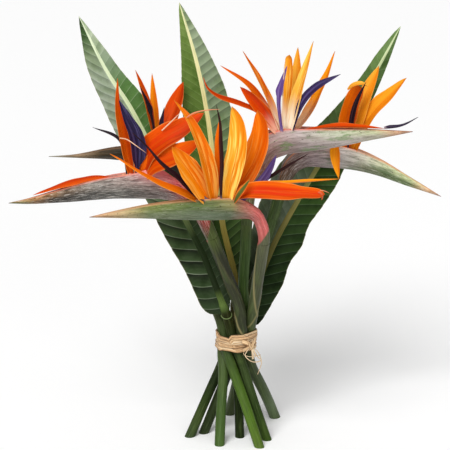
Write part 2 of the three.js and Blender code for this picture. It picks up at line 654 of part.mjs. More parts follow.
// The fleshy row of floret bases that lies in the spathe's groove and carries the petals
function clawRow([from, to]) {
  const curve = new THREE.LineCurve3(vector(from), vector(to));
  const up = new THREE.Vector3(0, 0, 1);
  const rings = [0, 0.12, 0.5, 0.88, 1].map((t) => {
    const radius = 4.4 * Math.sqrt(1 - (2 * t - 1) ** 2 * 0.9);
    const tangent = curve.getTangent(t);
    const axes = frame(tangent, up.clone().cross(tangent).negate());
    const ring = [];
    for (let j = 0; j < 8; j += 1) {
      const angle = 2 * Math.PI * j / 8;
      ring.push(curve.getPoint(t).addScaledVector(axes.side, radius * Math.sin(angle))
        .addScaledVector(axes.up, 1.1 * radius * Math.cos(angle)));
    }
    return ring;
  });
  return loft(rings);
}

// A leaf in one piece: petiole, midrib and blade share rows of points. On the petiole the rows close
// to a round, on the blade they spread to the margins, with the midrib swelling between the halves.
const LEAF_COLUMNS = [-1, -0.55, -0.12, 0, 0.12, 0.55, 1];
const LEAF_ROWS = 24;
const ROW_EASE = 1.3;

const NO_BLADE = { spread: 0, left: 0, right: 0, foldLeft: 0, foldRight: 0, ripple: 0, midrib: 0 };

function leafRow(middle, axes, size) {
  const pairs = LEAF_COLUMNS.map((v, j) => {
    const angle = Math.PI * (1 - (j + 0.5) / LEAF_COLUMNS.length);
    const petiole = { x: size.radius * Math.cos(angle), y: size.radius * Math.sin(angle) };
    const half = v < 0 ? size.left : size.right;
    const fold = v < 0 ? size.foldLeft : size.foldRight;
    const bend = v === 0 ? 0 : Math.abs(v) * half * fold;
    const ripple = size.ripple * v * v * (v < 0 ? 1 : -1);
    const midrib = Math.abs(v) < 0.2 ? size.midrib * (1 - Math.abs(v) / 0.3) : 0;
    return { petiole, x: v * half, y: bend + ripple, thick: LEAF_THICKNESS / 2, midrib };
  });
  const place = (x, y) => middle.clone().addScaledVector(axes.side, x).addScaledVector(axes.up, y);
  return {
    top: pairs.map((p) => place(
      mix(p.petiole.x, p.x, size.spread),
      mix(p.petiole.y, p.y + p.thick + 0.35 * p.midrib, size.spread),
    )),
    bottom: pairs.map((p) => place(
      mix(p.petiole.x, p.x, size.spread),
      mix(-p.petiole.y, p.y - p.thick - p.midrib, size.spread),
    )),
  };
}

function leafGeometry(name) {
  const leaf = LEAVES[name];
  const line = LINES[name];
  const face = vector(leaf.face);
  const top = [];
  const bottom = [];
  const axesFor = (tangent) => frame(tangent, face.clone().cross(tangent).negate());
  for (const z of STALK_HEIGHTS.filter((height) => height < leaf.base)) {
    const { point, tangent, radius } = stalkAt(line, z);
    const row = leafRow(point, axesFor(tangent), { ...NO_BLADE, radius });
    top.push(z === 0 ? cutLevel(row.top, tangent) : row.top);
    bottom.push(z === 0 ? cutLevel(row.bottom, tangent) : row.bottom);
  }
  const base = line.rows.filter((p) => p.z <= leaf.base).slice(-3);
  const curve = new THREE.CatmullRomCurve3([...base, ...leaf.blade.map(vector)], false, 'centripetal');
  const start = 2 / (curve.points.length - 1);
  for (const { point, tangent, along } of stations(curve, start, LEAF_ROWS, ROW_EASE)) {
    const shares = leaf.outlines.map((outline) => ramp(outline, along));
    const ripple = 2.2 * Math.sin(2 * Math.PI * leaf.waves * along);
    const row = leafRow(point, axesFor(tangent), {
      radius: 5.6,
      spread: smooth(0, 0.02, along),
      left: leaf.halves[0] * shares[0],
      right: leaf.halves[1] * shares[1],
      foldLeft: leaf.fold[0],
      foldRight: leaf.fold[1],
      ripple: ripple * smooth(0, 0.2, along) * Math.min(...shares),
      midrib: mix(4.2, 0.3, along ** 0.8),
    });
    top.push(row.top);
    bottom.push(row.bottom);
  }
  return sheet(top, bottom);
}

// The tie. Its inside follows the hull of the stalks at each height.
function hullPoint(z, direction, offset) {
  let best = -Infinity;
  let found = null;
  for (const line of Object.values(LINES)) {
    const { point, tangent, radius } = stalkAt(line, z);
    const reach = radius / Math.max(Math.abs(tangent.z), 0.5);
    const support = point.x * direction.x + point.y * direction.y + reach;
    if (support > best) {
      best = support;
      found = new THREE.Vector3(point.x, point.y, z).addScaledVector(direction, reach + offset);
    }
  }
  return found;
}

function bindingGeometry() {
  const directions = 28;
  const levels = 6;
  const rings = [];
  for (let k = 0; k < directions; k += 1) {
    const angle = 2 * Math.PI * k / directions;
    const direction = new THREE.Vector3(Math.cos(angle), Math.sin(angle), 0);
    const ring = [];
    for (let i = 0; i <= levels; i += 1) {
      const share = i / levels;
      const z = TIE.band + TIE.height * (share - 0.5);
      const ridge = TIE.thickness * (0.75 + 0.5 * (i % 2)) * (i === 0 || i === levels ? 0.8 : 1);
      ring.push(hullPoint(z, direction, 0.5 + ridge));
    }
    for (let i = levels; i >= 0; i -= 2) {
      ring.push(hullPoint(TIE.band + TIE.height * (i / levels - 0.5), direction, 0.5));
    }
    rings.push(ring);
  }
  const n = rings[0].length;
  const points = rings.flat();
  const faces = [];
  for (let k = 0; k < directions; k += 1) {
    const next = (k + 1) % directions;
    for (let j = 0; j < n; j += 1) {
      const after = (j + 1) % n;
      const [a, b, c, d] = [k * n + j, next * n + j, next * n + after, k * n + after];
      faces.push(a, b, c, a, c, d);
    }
  }
  return geometryFrom(points, faces);
}

// The knot: two crossed turns of raffia on the front of the tie and the loose ends below it
const KNOT_ANGLE = -60;
const KNOT_TURNS = [
  { line: [[-9, 0.4, 5], [-3, -2.6, 2], [3, -2.6, -2], [9, 0.4, -5]], width: 5.5, thick: 3 },
  { line: [[-7, 0.6, -6], [-2, -3.6, -2.5], [3, -3.6, 2.5], [8, 0.6, 6]], width: 5, thick: 3 },
];
const KNOT_ENDS = [
  { line: [[1, -3, -2], [1.4, -5, -9], [1.9, -4.8, -16]], width: 3.6, thick: 0.9 },
  { line: [[-1, -3, -2], [-8, -4.4, -10], [-2, -6.2, -17], [11, -7, -19]], width: 2, thick: 0.9 },
  { line: [[3, -3, -2], [10, -4.4, -11], [12, -6.6, -21], [6.4, -7.4, -34]], width: 1.6, thick: 0.9 },
];

function ribbon({ line, width, thick }, place, count) {
  const curve = new THREE.CatmullRomCurve3(line.map(place), false, 'centripetal');
  const outward = place([0, -1, 0]).sub(place([0, 0, 0]));
  const top = [];
  const bottom = [];
  for (const { point, tangent } of stations(curve, 0, count)) {
    const axes = frame(tangent, outward.clone().cross(tangent).negate());
    const put = (v, h) => point.clone().addScaledVector(axes.side, v * width / 2)
      .addScaledVector(axes.up, h * thick / 2);
    top.push([put(-1, 0.6), put(0, 1), put(1, 0.6)]);
    bottom.push([put(-1, -0.6), put(0, -1), put(1, -0.6)]);
  }
  return sheet(top, bottom);
}

function knotGeometry(binding) {
  const angle = radians(KNOT_ANGLE);
  const direction = new THREE.Vector3(Math.cos(angle), Math.sin(angle), 0);
  const across = new THREE.Vector3(-direction.y, direction.x, 0);
  const seat = hullPoint(TIE.band - 2, direction, 0.5 + 1.25 * TIE.thickness + 1);
  const place = ([x, y, z]) => seat.clone().addScaledVector(across, x).addScaledVector(direction, -y)
    .add(new THREE.Vector3(0, 0, z));
  const turns = KNOT_TURNS.map((turn) => solidOf(ribbon(turn, place, 6)));
  const ends = KNOT_ENDS.map((end) => solidOf(ribbon(end, place, 6)));
  return geometryOf(joined([...turns, ...ends]).subtract(binding));
}

// The assembled bouquet
const group = new THREE.Group();
group.position.set(-OUTLINE_MIDDLE.x, -OUTLINE_MIDDLE.y, 0);

function addPiece(name, geometry, finish) {
  const material = new THREE.MeshStandardMaterial({ name: finish, ...FINISHES[finish] });
  const mesh = new THREE.Mesh(geometry, material);
  mesh.name = name;
  group.add(mesh);
}

function sepalSolid(petal, grow) {
  const profile = PROFILES[petal.profile ?? 'leafy'];
  return solidOf(blade(petal, profile, SEPAL_ROWS, SEPAL_COLUMNS, grow));
}

for (const [name, flower] of Object.entries(FLOWERS)) {
  const spatheSpace = solidOf(spatheGeometry(name, CLEARANCE));
  const sepals = flower.sepals.map((petal) => sepalSolid(petal, 0));
  const sepalSpace = joined(flower.sepals.map((petal) => sepalSolid(petal, CLEARANCE)));
  const claws = solidOf(clawRow(flower.claws));
  addPiece(`${name}_stalk`, flowerStalk(name), 'flower_stalk');
  addPiece(`${name}_spathe`, spatheGeometry(name), 'spathe');
  addPiece(`${name}_sepals`, geometryOf(joined([claws, ...sepals]).subtract(spatheSpace)), 'sepals');
  const tongues = flower.tip_tongue ? [...flower.tongues, flower.tip_tongue] : flower.tongues;
  tongues.forEach((petal, k) => {
    const profile = PROFILES[petal.profile ?? 'arrow'];
    const solid = solidOf(blade(petal, profile, TONGUE_ROWS, TONGUE_COLUMNS));
    const free = solid.subtract(sepalSpace).subtract(spatheSpace).subtract(claws);
    addPiece(`${name}_tongue_${k + 1}`, geometryOf(free), 'tongue');
  });
}
for (const name of Object.keys(LEAVES)) addPiece(name, leafGeometry(name), 'leaf');
const binding = bindingGeometry();
addPiece('raffia_binding', binding, 'raffia');
addPiece('raffia_knot', knotGeometry(solidOf(binding)), 'raffia');

export default group;
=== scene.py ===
"""Bird of paradise bouquet: the fine shapes and finishes of its stalks, spathes, petals, leaves and tie.

Lengths are in millimetres, measured from the middle of the tie's axis, until a mesh is written.
A ramp is a list of (place, value) pairs. A run of colours is text, such as "0 343E22, 1 565840",
where each colour follows its place from 0 to 1.
"""
import math
import bpy
import numpy as np
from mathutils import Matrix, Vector


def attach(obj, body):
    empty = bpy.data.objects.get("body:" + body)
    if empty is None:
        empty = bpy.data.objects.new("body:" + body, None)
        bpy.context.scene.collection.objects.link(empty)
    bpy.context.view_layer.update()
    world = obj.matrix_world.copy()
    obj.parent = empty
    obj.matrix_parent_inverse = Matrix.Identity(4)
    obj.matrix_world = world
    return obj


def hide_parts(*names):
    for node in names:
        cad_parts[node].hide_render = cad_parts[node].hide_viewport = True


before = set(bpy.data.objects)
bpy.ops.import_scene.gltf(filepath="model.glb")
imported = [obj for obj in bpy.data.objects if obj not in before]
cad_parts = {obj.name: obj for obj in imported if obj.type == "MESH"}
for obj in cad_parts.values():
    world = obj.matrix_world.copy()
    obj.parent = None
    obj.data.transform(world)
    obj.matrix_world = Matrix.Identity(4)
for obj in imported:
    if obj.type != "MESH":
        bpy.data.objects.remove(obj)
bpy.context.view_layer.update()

MM = 0.001
TURN = 2 * math.pi
# From the tie's axis to the middle of the bouquet's outline
SHIFT = np.array([3.0, 20.0, 0.0])
# The height where a stalk passes into its flower's neck
NECK = 240.0

# The flowers.
# stalk: colours from foot to neck. sheaths: the bracts wrapped round it, each with the height of its
# point, how far its edge falls from there, its bearing in degrees and how pale the edge is.
# beak: the way in X that the spathe points. neck: the radius there. blush: the X and Z where the
# neck's pink begins, the rise of that line and its blur.
# axis: the spathe's line from the bend to the tip. half, up, down: its half width and its depths above
# and below that line, fullest at that share of it. arch: how far its far rim rises before the petals.
# taper: its shrinking to the tip, where it isn't the usual one. claws: the ends of the row of floret
# bases. upper, lower: its colours from neck to tip, blotches and streaks their strength. The lower colours,
# on the underside, are darker copies of the upper: in part its own colour, in part painted shade. inside:
# the colour of the groove's inner face, in part its own red-brown, in part painted shade in the hollow.
FLOWERS = {
    "front_flower": dict(
        stalk="0 343E22, 0.2 3E4C22, 0.42 404E26, 0.56 3C4428, 0.75 454A32, 0.92 4E523A, 1 565840",
        sheaths=[(262, 120, 170, 0.8), (186, 62, 20, 0.5)],
        beak=-1, neck=6.5, blush=((31, 243), 1.6, 1.2),
        axis=[(32, -69, 257), (23, -76, 274), (3, -82, 281), (-34, -88, 282), (-86, -88, 280),
              (-123, -86, 276), (-150, -82, 272)],
        half=9.5, up=11.5, down=12.5, fullest=0.34, arch=1.5,
        claws=[(-38, -87, 289), (8, -82, 288)],
        upper="0 B4554C, 0.1 D06460, 0.19 CE6862, 0.25 B4705C, 0.31 8A8450, 0.4 5E6C36, 0.5 50642A, "
              "0.7 76823E, 0.84 C8AC7E, 0.96 C79A74, 1 5C3526",
        lower="0 A04E47, 0.1 B85C55, 0.18 A65E58, 0.25 7C6454, 0.31 525E44, 0.45 66735A, 0.7 6A7452, "
              "0.84 A8926A, 0.96 A77E5C, 1 4E2E20",
        rim="D08A66", inside="8E4A36", blotch="4E5A34", blotches=0.25, streaks=0.35,
    ),
    "left_flower": dict(
        stalk="0 4C5A3A, 0.1 5A6A4C, 0.2 3E4C2E, 0.42 2A3418, 0.56 25261A, 0.7 2A281E, 0.82 28271E, "
              "0.92 303422, 1 4E5A2A",
        sheaths=[(231, 90, 250, 0.12), (150, 40, 200, 0.8)],
        beak=-1, neck=7.2, blush=((-27, 235), 7, 7),
        axis=[(-33, -48, 264), (-50, -50, 286), (-76, -50, 297), (-122, -46, 296), (-185, -38, 284),
              (-218, -33, 277), (-241, -30, 274)],
        half=10.5, up=14, down=14.5, fullest=0.42, arch=7,
        claws=[(-124, -46, 305), (-92, -49, 307)],
        upper="0 5A5E38, 0.07 A4483C, 0.18 F05050, 0.28 EC6468, 0.35 A88A84, 0.6 8A827A, 0.74 6C543C, "
              "0.86 B48250, 0.94 B0925E, 1 4C5A34",
        lower="0 4A4C2C, 0.07 6E3E32, 0.18 A2524E, 0.3 766460, 0.5 6C6A64, 0.64 4C4A46, 0.8 322C24, "
              "0.88 7C5C3A, 0.95 6E7040, 1 3E4A2C",
        rim="EC8874", inside="2A120C", blotch="33312E", blotches=0.6, streaks=1,
    ),
    "far_left_flower": dict(
        stalk="0 50681E, 0.12 4C6C16, 0.25 426012, 0.42 30421A, 0.7 34381E, 1 2A2E16",
        sheaths=[(205, 46, -60, 0.4)],
        beak=-1, neck=6.3, blush=((-28, 256), 0, 12),
        axis=[(-28, 25, 262), (-42, 23, 286), (-66, 25, 305), (-95, 28, 313), (-124, 30, 315),
              (-174, 32, 312), (-203, 30, 312)],
        half=8, up=9, down=9, fullest=0.42, arch=0,
        taper=[(0.4, 1), (0.55, 0.96), (0.64, 0.83), (0.75, 0.54), (0.87, 0.2), (0.94, 0.1), (1, 0.03)],
        claws=[(-92, 28, 320), (-72, 26, 318)],
        upper="0 343C20, 0.2 2A2410, 0.45 1A1808, 0.62 241E0C, 0.74 4C3C22, 0.86 A0866A, 1 8A8A78",
        lower="0 2C321A, 0.2 181408, 0.45 100F04, 0.62 1C170A, 0.74 40341E, 0.86 7E6A4E, 1 75756A",
        rim="7A5638", inside="2A180E", blotch="181808", blotches=0.5, streaks=0.08,
    ),
    "upper_flower": dict(
        stalk="0 17230A, 0.2 1E2A0C, 0.42 2A3814, 0.56 2E4016, 0.75 3A5220, 0.92 3E5428, 1 3C4824",
        sheaths=[(168, 36, 200, 0.4)],
        beak=1, neck=6.5, blush=((18, 256), 0, 14),
        axis=[(18, 10, 262), (21, 10, 284), (27, 11, 308), (38, 10, 326), (56, 9, 334), (82, 8, 336),
              (112, 8, 338), (142, 12, 340), (173, 17, 341), (198, 21, 342)],
        half=10.5, up=14, down=15.5, fullest=0.4, arch=1.5,
        claws=[(46, 10, 342), (76, 8, 345)],
        upper="0 5E7A3C, 0.14 6A5A34, 0.27 8E4A3C, 0.36 A07A76, 0.5 B9ABA8, 0.66 BCC2A8, 0.82 C2C79C, "
              "0.93 D9A884, 1 7E5644",
        lower="0 5A7438, 0.14 5E4A2C, 0.27 74402F, 0.38 86665F, 0.52 9A8C8A, 0.7 B5AAA4, 0.85 A8A490, "
              "0.93 B98F72, 1 6C4636",
        rim="E2562A", inside="8E3018", blotch="5A7E40", blotches=0.55, streaks=0.5,
    ),
    "right_flower": dict(
        stalk="0 3C5A20, 0.2 3A5220, 0.42 42502C, 0.56 4E5036, 0.75 2E3C20, 1 34451F",
        sheaths=[(190, 50, 40, 0.4)],
        beak=1, neck=6.8, blush=((52, 288), 0, 12),
        axis=[(52, 36, 264), (60, 39, 288), (68, 42, 301), (82, 45, 309), (107, 46, 310), (134, 46, 306),
              (165, 45, 296), (199, 43, 280), (234, 40, 264)],
        half=10.5, up=13, down=14.5, fullest=0.5, arch=1,
        claws=[(112, 46, 315), (142, 46, 311)],
        upper="0 3C4A26, 0.12 44482C, 0.24 6A4A3C, 0.38 B4A0A0, 0.5 E6DEDA, 0.6 E0DCC8, 0.7 C8CEA4, "
              "0.84 BCC48E, 0.93 D8B088, 1 7C5244",
        lower="0 364424, 0.12 3A3E26, 0.24 543E32, 0.38 8A787A, 0.5 A8A09C, 0.6 7C7C66, 0.7 5A6840, "
              "0.84 64784A, 0.93 C8A078, 1 6A463A",
        rim="EE9A6A", inside="8E3A24", blotch="546A48", blotches=0.5, streaks=0.7,
    ),
}


def petal(line, outline, width, cup, face, **marks):
    """A petal: its line from root to tip, outline, width, cup, the way its face looks and its marks."""
    return dict(line=line, outline=outline, width=width, cup=cup, face=face, marks=marks)


# The orange sepals. Their marks go from 0 to 1. tone: from yellow to red. cream: pale stripes.
# heart: a red middle. pale: a bleached root. green: a green middle.
SEPALS = {
    "front_flower": [
        petal([(-20, -87, 288), (-26, -94, 323), (-33, -97, 350), (-44, -94, 376), (-60, -90, 398)],
              "spear", 20, 0.5, (0.6, -0.7, 0.3), tone=0.46, cream=0.4),
        petal([(-24, -88, 288), (-34, -94, 307), (-44, -100, 324), (-53, -104, 338), (-62, -108, 353)],
              "broad", 27, 0.25, (0.4, -0.8, 0.5), tone=0.42, cream=0.35),
        petal([(-32, -88, 289), (-54, -99, 303), (-75, -106, 314), (-95, -112, 327), (-115, -114, 341),
               (-125, -114, 347)], "lance", 10, 0.5, (0.3, -0.7, 0.7), tone=0.5),
        petal([(-17, -85, 288), (-14, -78, 327), (-15, -75, 353), (-13, -72, 377)],
              "leafy", 9, 0.4, (-0.6, -0.8, 0), tone=0.66),
        petal([(-6, -86, 288), (-3, -89, 308), (1, -93, 327), (5, -96, 347), (6, -95, 363), (4, -92, 378),
               (-1, -88, 391)], "full", 22, 0.35, (-0.3, -1, 0), tone=0.24, cream=1),
        petal([(-4, -82, 288), (11, -80, 311), (22, -76, 330), (28, -73, 348), (30, -70, 366),
               (26, -66, 383)], "full", 27, 0.35, (-0.5, -0.8, 0.2), tone=0.58, cream=0.15),
        petal([(-1, -86, 290), (11, -91, 301), (30, -95, 304), (57, -98, 303), (82, -99, 302),
               (95, -99, 301)], "hooked", 19, 0.45, (0, -0.9, 0.4), tone=0.74, heart=1),
        petal([(4, -81, 290), (20, -78, 305), (60, -73, 307), (113, -68, 310)],
              "leafy", 6, 0.5, (0, -0.3, 1), tone=0.3),
        petal([(2, -90, 290), (7, -99, 301), (11, -100, 307), (18, -99, 317)],
              "broad", 7, 0.4, (-0.5, -0.8, 0.3), tone=0.6, green=1),
    ],
    "left_flower": [
        petal([(-108, -47, 306), (-113, -50, 337), (-117, -52, 359), (-121, -53, 386), (-120, -53, 414)],
              "spear", 13, 0.45, (0.6, -0.8, 0), tone=0.72),
        petal([(-99, -49, 307), (-89, -54, 336), (-72, -59, 352), (-51, -60, 364), (-30, -56, 378)],
              "broad", 27, 0.3, (-0.4, -0.9, 0.3), tone=0.86, heart=0.6),
        petal([(-97, -50, 306), (-84, -59, 323), (-63, -67, 334), (-48, -71, 342), (-34, -74, 352)],
              "broad", 26, 0.3, (-0.2, -0.8, 0.5), tone=0.72, heart=0.5),
        petal([(-116, -47, 304), (-142, -44, 305), (-165, -41, 300), (-190, -37, 292), (-214, -34, 284)],
              "leafy", 12, 0.25, (0, -0.4, 1), tone=0.8),
    ],
    "far_left_flower": [
        petal([(-84, 26, 320), (-93, 20, 370), (-105, 16, 411)],
              "leafy", 11, 0.5, (0.8, -0.6, 0), tone=0.7),
        petal([(-80, 29, 320), (-85, 32, 364), (-88, 36, 404)], "leafy", 9, 0.4, (-0.2, -1, 0), tone=0.4),
        petal([(-76, 28, 319), (-72, 38, 341), (-63, 47, 365), (-54, 51, 392)],
              "broad", 22, 0.35, (-0.5, -0.8, 0), tone=0.92),
    ],
    "upper_flower": [
        petal([(52, 7, 343), (33, 2, 392), (11, -4, 435)],
              "spear", 15, 0.45, (0.9, -0.4, 0.3), tone=0.5, cream=0.3, pale=0.9),
        petal([(51, 13, 342), (19, 22, 391), (-13, 28, 414)],
              "spear", 12, 0.45, (0.6, -0.6, 0.5), tone=0.6, pale=0.6),
        petal([(51, 6, 342), (28, -6, 374), (8, -14, 398)],
              "broad", 16, 0.35, (0.4, -0.9, 0.3), tone=0.85, heart=0.6, pale=0.4),
        petal([(49, 6, 342), (28, -8, 368), (6, -18, 380), (-16, -24, 389), (-27, -27, 399),
               (-31, -29, 411)], "leafy", 9, 0.5, (0.3, -0.5, 0.8), tone=0.85),
        petal([(57, 9, 343), (60, 5, 391), (61, 1, 430)],
              "strap", 11, 0.4, (-0.4, -1, 0), tone=0.24, cream=0.9, pale=1),
        petal([(61, 12, 343), (69, 20, 393), (71, 22, 435)],
              "leafy", 14, 0.45, (-0.2, -1, 0), tone=0.14, pale=1),
        petal([(62, 6, 343), (72, -3, 393), (78, -6, 415), (86, -8, 446)],
              "spear", 15, 0.45, (-0.7, -0.7, 0), tone=0.08, cream=0.8, pale=1),
        petal([(67, 11, 344), (79, 12, 358), (90, 15, 376), (97, 18, 391), (104, 19, 408), (111, 20, 431)],
              "spear", 15, 0.45, (-0.8, -0.6, 0.2), tone=0.3, pale=0.5),
        petal([(70, 8, 345), (112, 5, 351), (166, 14, 347)], "leafy", 9, 0.4, (0, -0.4, 1), tone=0.92),
    ],
    "right_flower": [
        petal([(125, 45, 314), (126, 44, 346), (130, 41, 368), (136, 38, 385), (138, 36, 391)],
              "strap", 21, 0.35, (0.3, -1, 0), tone=0.62),
        petal([(127, 36, 386), (133, 31, 392), (141, 29, 394), (149, 32, 390)],
              "broad", 5, 0.6, (0, -0.8, 0.6), tone=0.12),
        petal([(130, 47, 313), (146, 49, 372), (162, 50, 410)],
              "broad", 18, 0.45, (-0.4, -0.9, 0), tone=0.2),
        petal([(136, 45, 312), (148, 44, 346), (161, 42, 365), (175, 39, 380), (191, 36, 399)],
              "broad", 21, 0.45, (-0.7, -0.6, 0.4), tone=0.26),
        petal([(126, 45, 315), (118, 37, 328), (114, 28, 319), (118, 25, 288)],
              "leafy", 12, 0.3, (-0.3, 1, 0.1), tone=0.3),
    ],
}

# The blue tongues. dark: 0 is violet, 1 is nearly black
TONGUES = {
    "front_flower": [
        petal([(-12, -89, 290), (-12, -97, 312), (-11, -101, 332), (-12, -101, 356), (-13, -97, 376),
               (-17, -93, 394)], "broad", 4.4, 0.3, (-0.3, -1, 0), dark=1),
        petal([(-26, -91, 291), (-41, -99, 303), (-57, -108, 321), (-74, -114, 338), (-88, -117, 356),
               (-102, -118, 370)], "lance", 9, 0.4, (0.5, -0.6, 0.5), dark=0.9),
        petal([(6, -78, 288), (31, -63, 308), (46, -58, 333)],
              "broad", 11, 0.4, (0.5, -0.8, 0.2), dark=0.1),
        petal([(8, -74, 290), (38, -54, 307), (80, -50, 333)], "broad", 5, 0.4, (-0.4, -0.6, 0.8), dark=1),
    ],
    "left_flower": [
        petal([(-102, -51, 307), (-100, -59, 339), (-103, -63, 357), (-110, -66, 374), (-118, -68, 394)],
              "barbed", 18, 0.5, (0.5, -0.9, 0), dark=0.5),
        petal([(-112, -44, 305), (-120, -35, 344), (-149, -28, 357)],
              "leafy", 5, 0.4, (0.5, -0.6, 0.6), dark=0.8),
    ],
    "far_left_flower": [
        petal([(-83, 23, 320), (-90, 12, 368), (-100, 8, 395)], "arrow", 7, 0.5, (0.6, -0.8, 0), dark=0.8),
        petal([(-77, 22, 320), (-77, 14, 352), (-74, 12, 371)], "arrow", 6, 0.4, (-0.3, -1, 0), dark=0.7),
    ],
    "upper_flower": [
        petal([(54, 3, 344), (50, -10, 388), (58, -14, 421)], "arrow", 9, 0.5, (-0.3, -1, 0), dark=0.05),
        petal([(65, 3, 345), (76, -8, 380), (91, -14, 398), (115, -16, 412)],
              "leafy", 11, 0.5, (-0.6, -0.7, 0.4), dark=0.42),
        petal([(166, 15, 347), (186, 16, 350), (203, 17, 359)], "lance", 6, 0.4, (0, -0.5, 1), dark=0.7),
    ],
    "right_flower": [
        petal([(128, 42, 314), (135, 33, 368), (146, 27, 396)], "leafy", 6, 0.5, (-0.3, -1, 0), dark=0.85),
    ],
}

# Torn fibres and stamen tips: the line of each, its radius, how bleached it is and its tone
THREADS = {
    "front_flower": [
        ([(88, -98, 303), (91, -99, 302), (92.5, -99, 299), (92, -99, 295)], 1.3, 0.1, 0.9),
        ([(88, -98, 304), (92, -99, 305), (96, -99, 304), (100, -99, 302)], 0.5, 0.3, 0.8),
        ([(-48, -94, 380), (-40, -98, 386), (-25, -102, 390), (-13, -104, 391)], 0.7, 0.3, 0.7),
    ],
    "left_flower": [
        ([(-118, -60, 352), (-110, -68, 352), (-100, -72, 346), (-90, -70, 338)], 0.6, 0.7, 0.6),
        ([(-74, -60, 360), (-67, -62, 367), (-60, -63, 374), (-54, -62, 380)], 0.7, 0.8, 0.6),
    ],
    "upper_flower": [
        ([(55, 0, 352), (54, -5, 362), (54, -12, 396), (56, -14, 428)], 0.8, 0.9, 0.4),
    ],
}

# Outlines of petals: shares of the full width from root to tip
PROFILES = {
    "leafy": [(0, 0.22), (0.14, 0.38), (0.35, 0.85), (0.52, 1), (0.7, 0.84), (0.88, 0.42), (1, 0.05)],
    "spear": [(0, 0.35), (0.12, 0.75), (0.28, 1), (0.45, 0.93), (0.65, 0.7), (0.82, 0.4), (1, 0.05)],
    "broad": [(0, 0.4), (0.15, 0.75), (0.38, 1), (0.62, 0.93), (0.8, 0.66), (0.92, 0.36), (1, 0.05)],
    "full": [(0, 0.35), (0.12, 0.7), (0.3, 0.93), (0.46, 1), (0.66, 0.93), (0.85, 0.68), (0.94, 0.38),
             (1, 0.06)],
    "hooked": [(0, 0.12), (0.08, 0.36), (0.17, 0.75), (0.32, 0.97), (0.5, 1), (0.66, 0.92), (0.77, 0.64),
               (0.9, 0.58), (0.97, 0.45), (1, 0.2)],
    "barbed": [(0, 0.2), (0.16, 0.28), (0.26, 0.85), (0.36, 1), (0.6, 0.85), (0.8, 0.5), (1, 0.05)],
    "strap": [(0, 0.5), (0.2, 0.85), (0.5, 1), (0.85, 0.92), (1, 0.6)],
    "lance": [(0, 0.6), (0.15, 1), (0.35, 0.82), (0.6, 0.5), (0.8, 0.28), (1, 0.1)],
    "arrow": [(0, 0.35), (0.3, 0.4), (0.5, 0.5), (0.585, 0.56), (0.62, 1), (0.66, 0.9), (0.72, 0.7),
              (0.88, 0.35), (1, 0.05)],
}
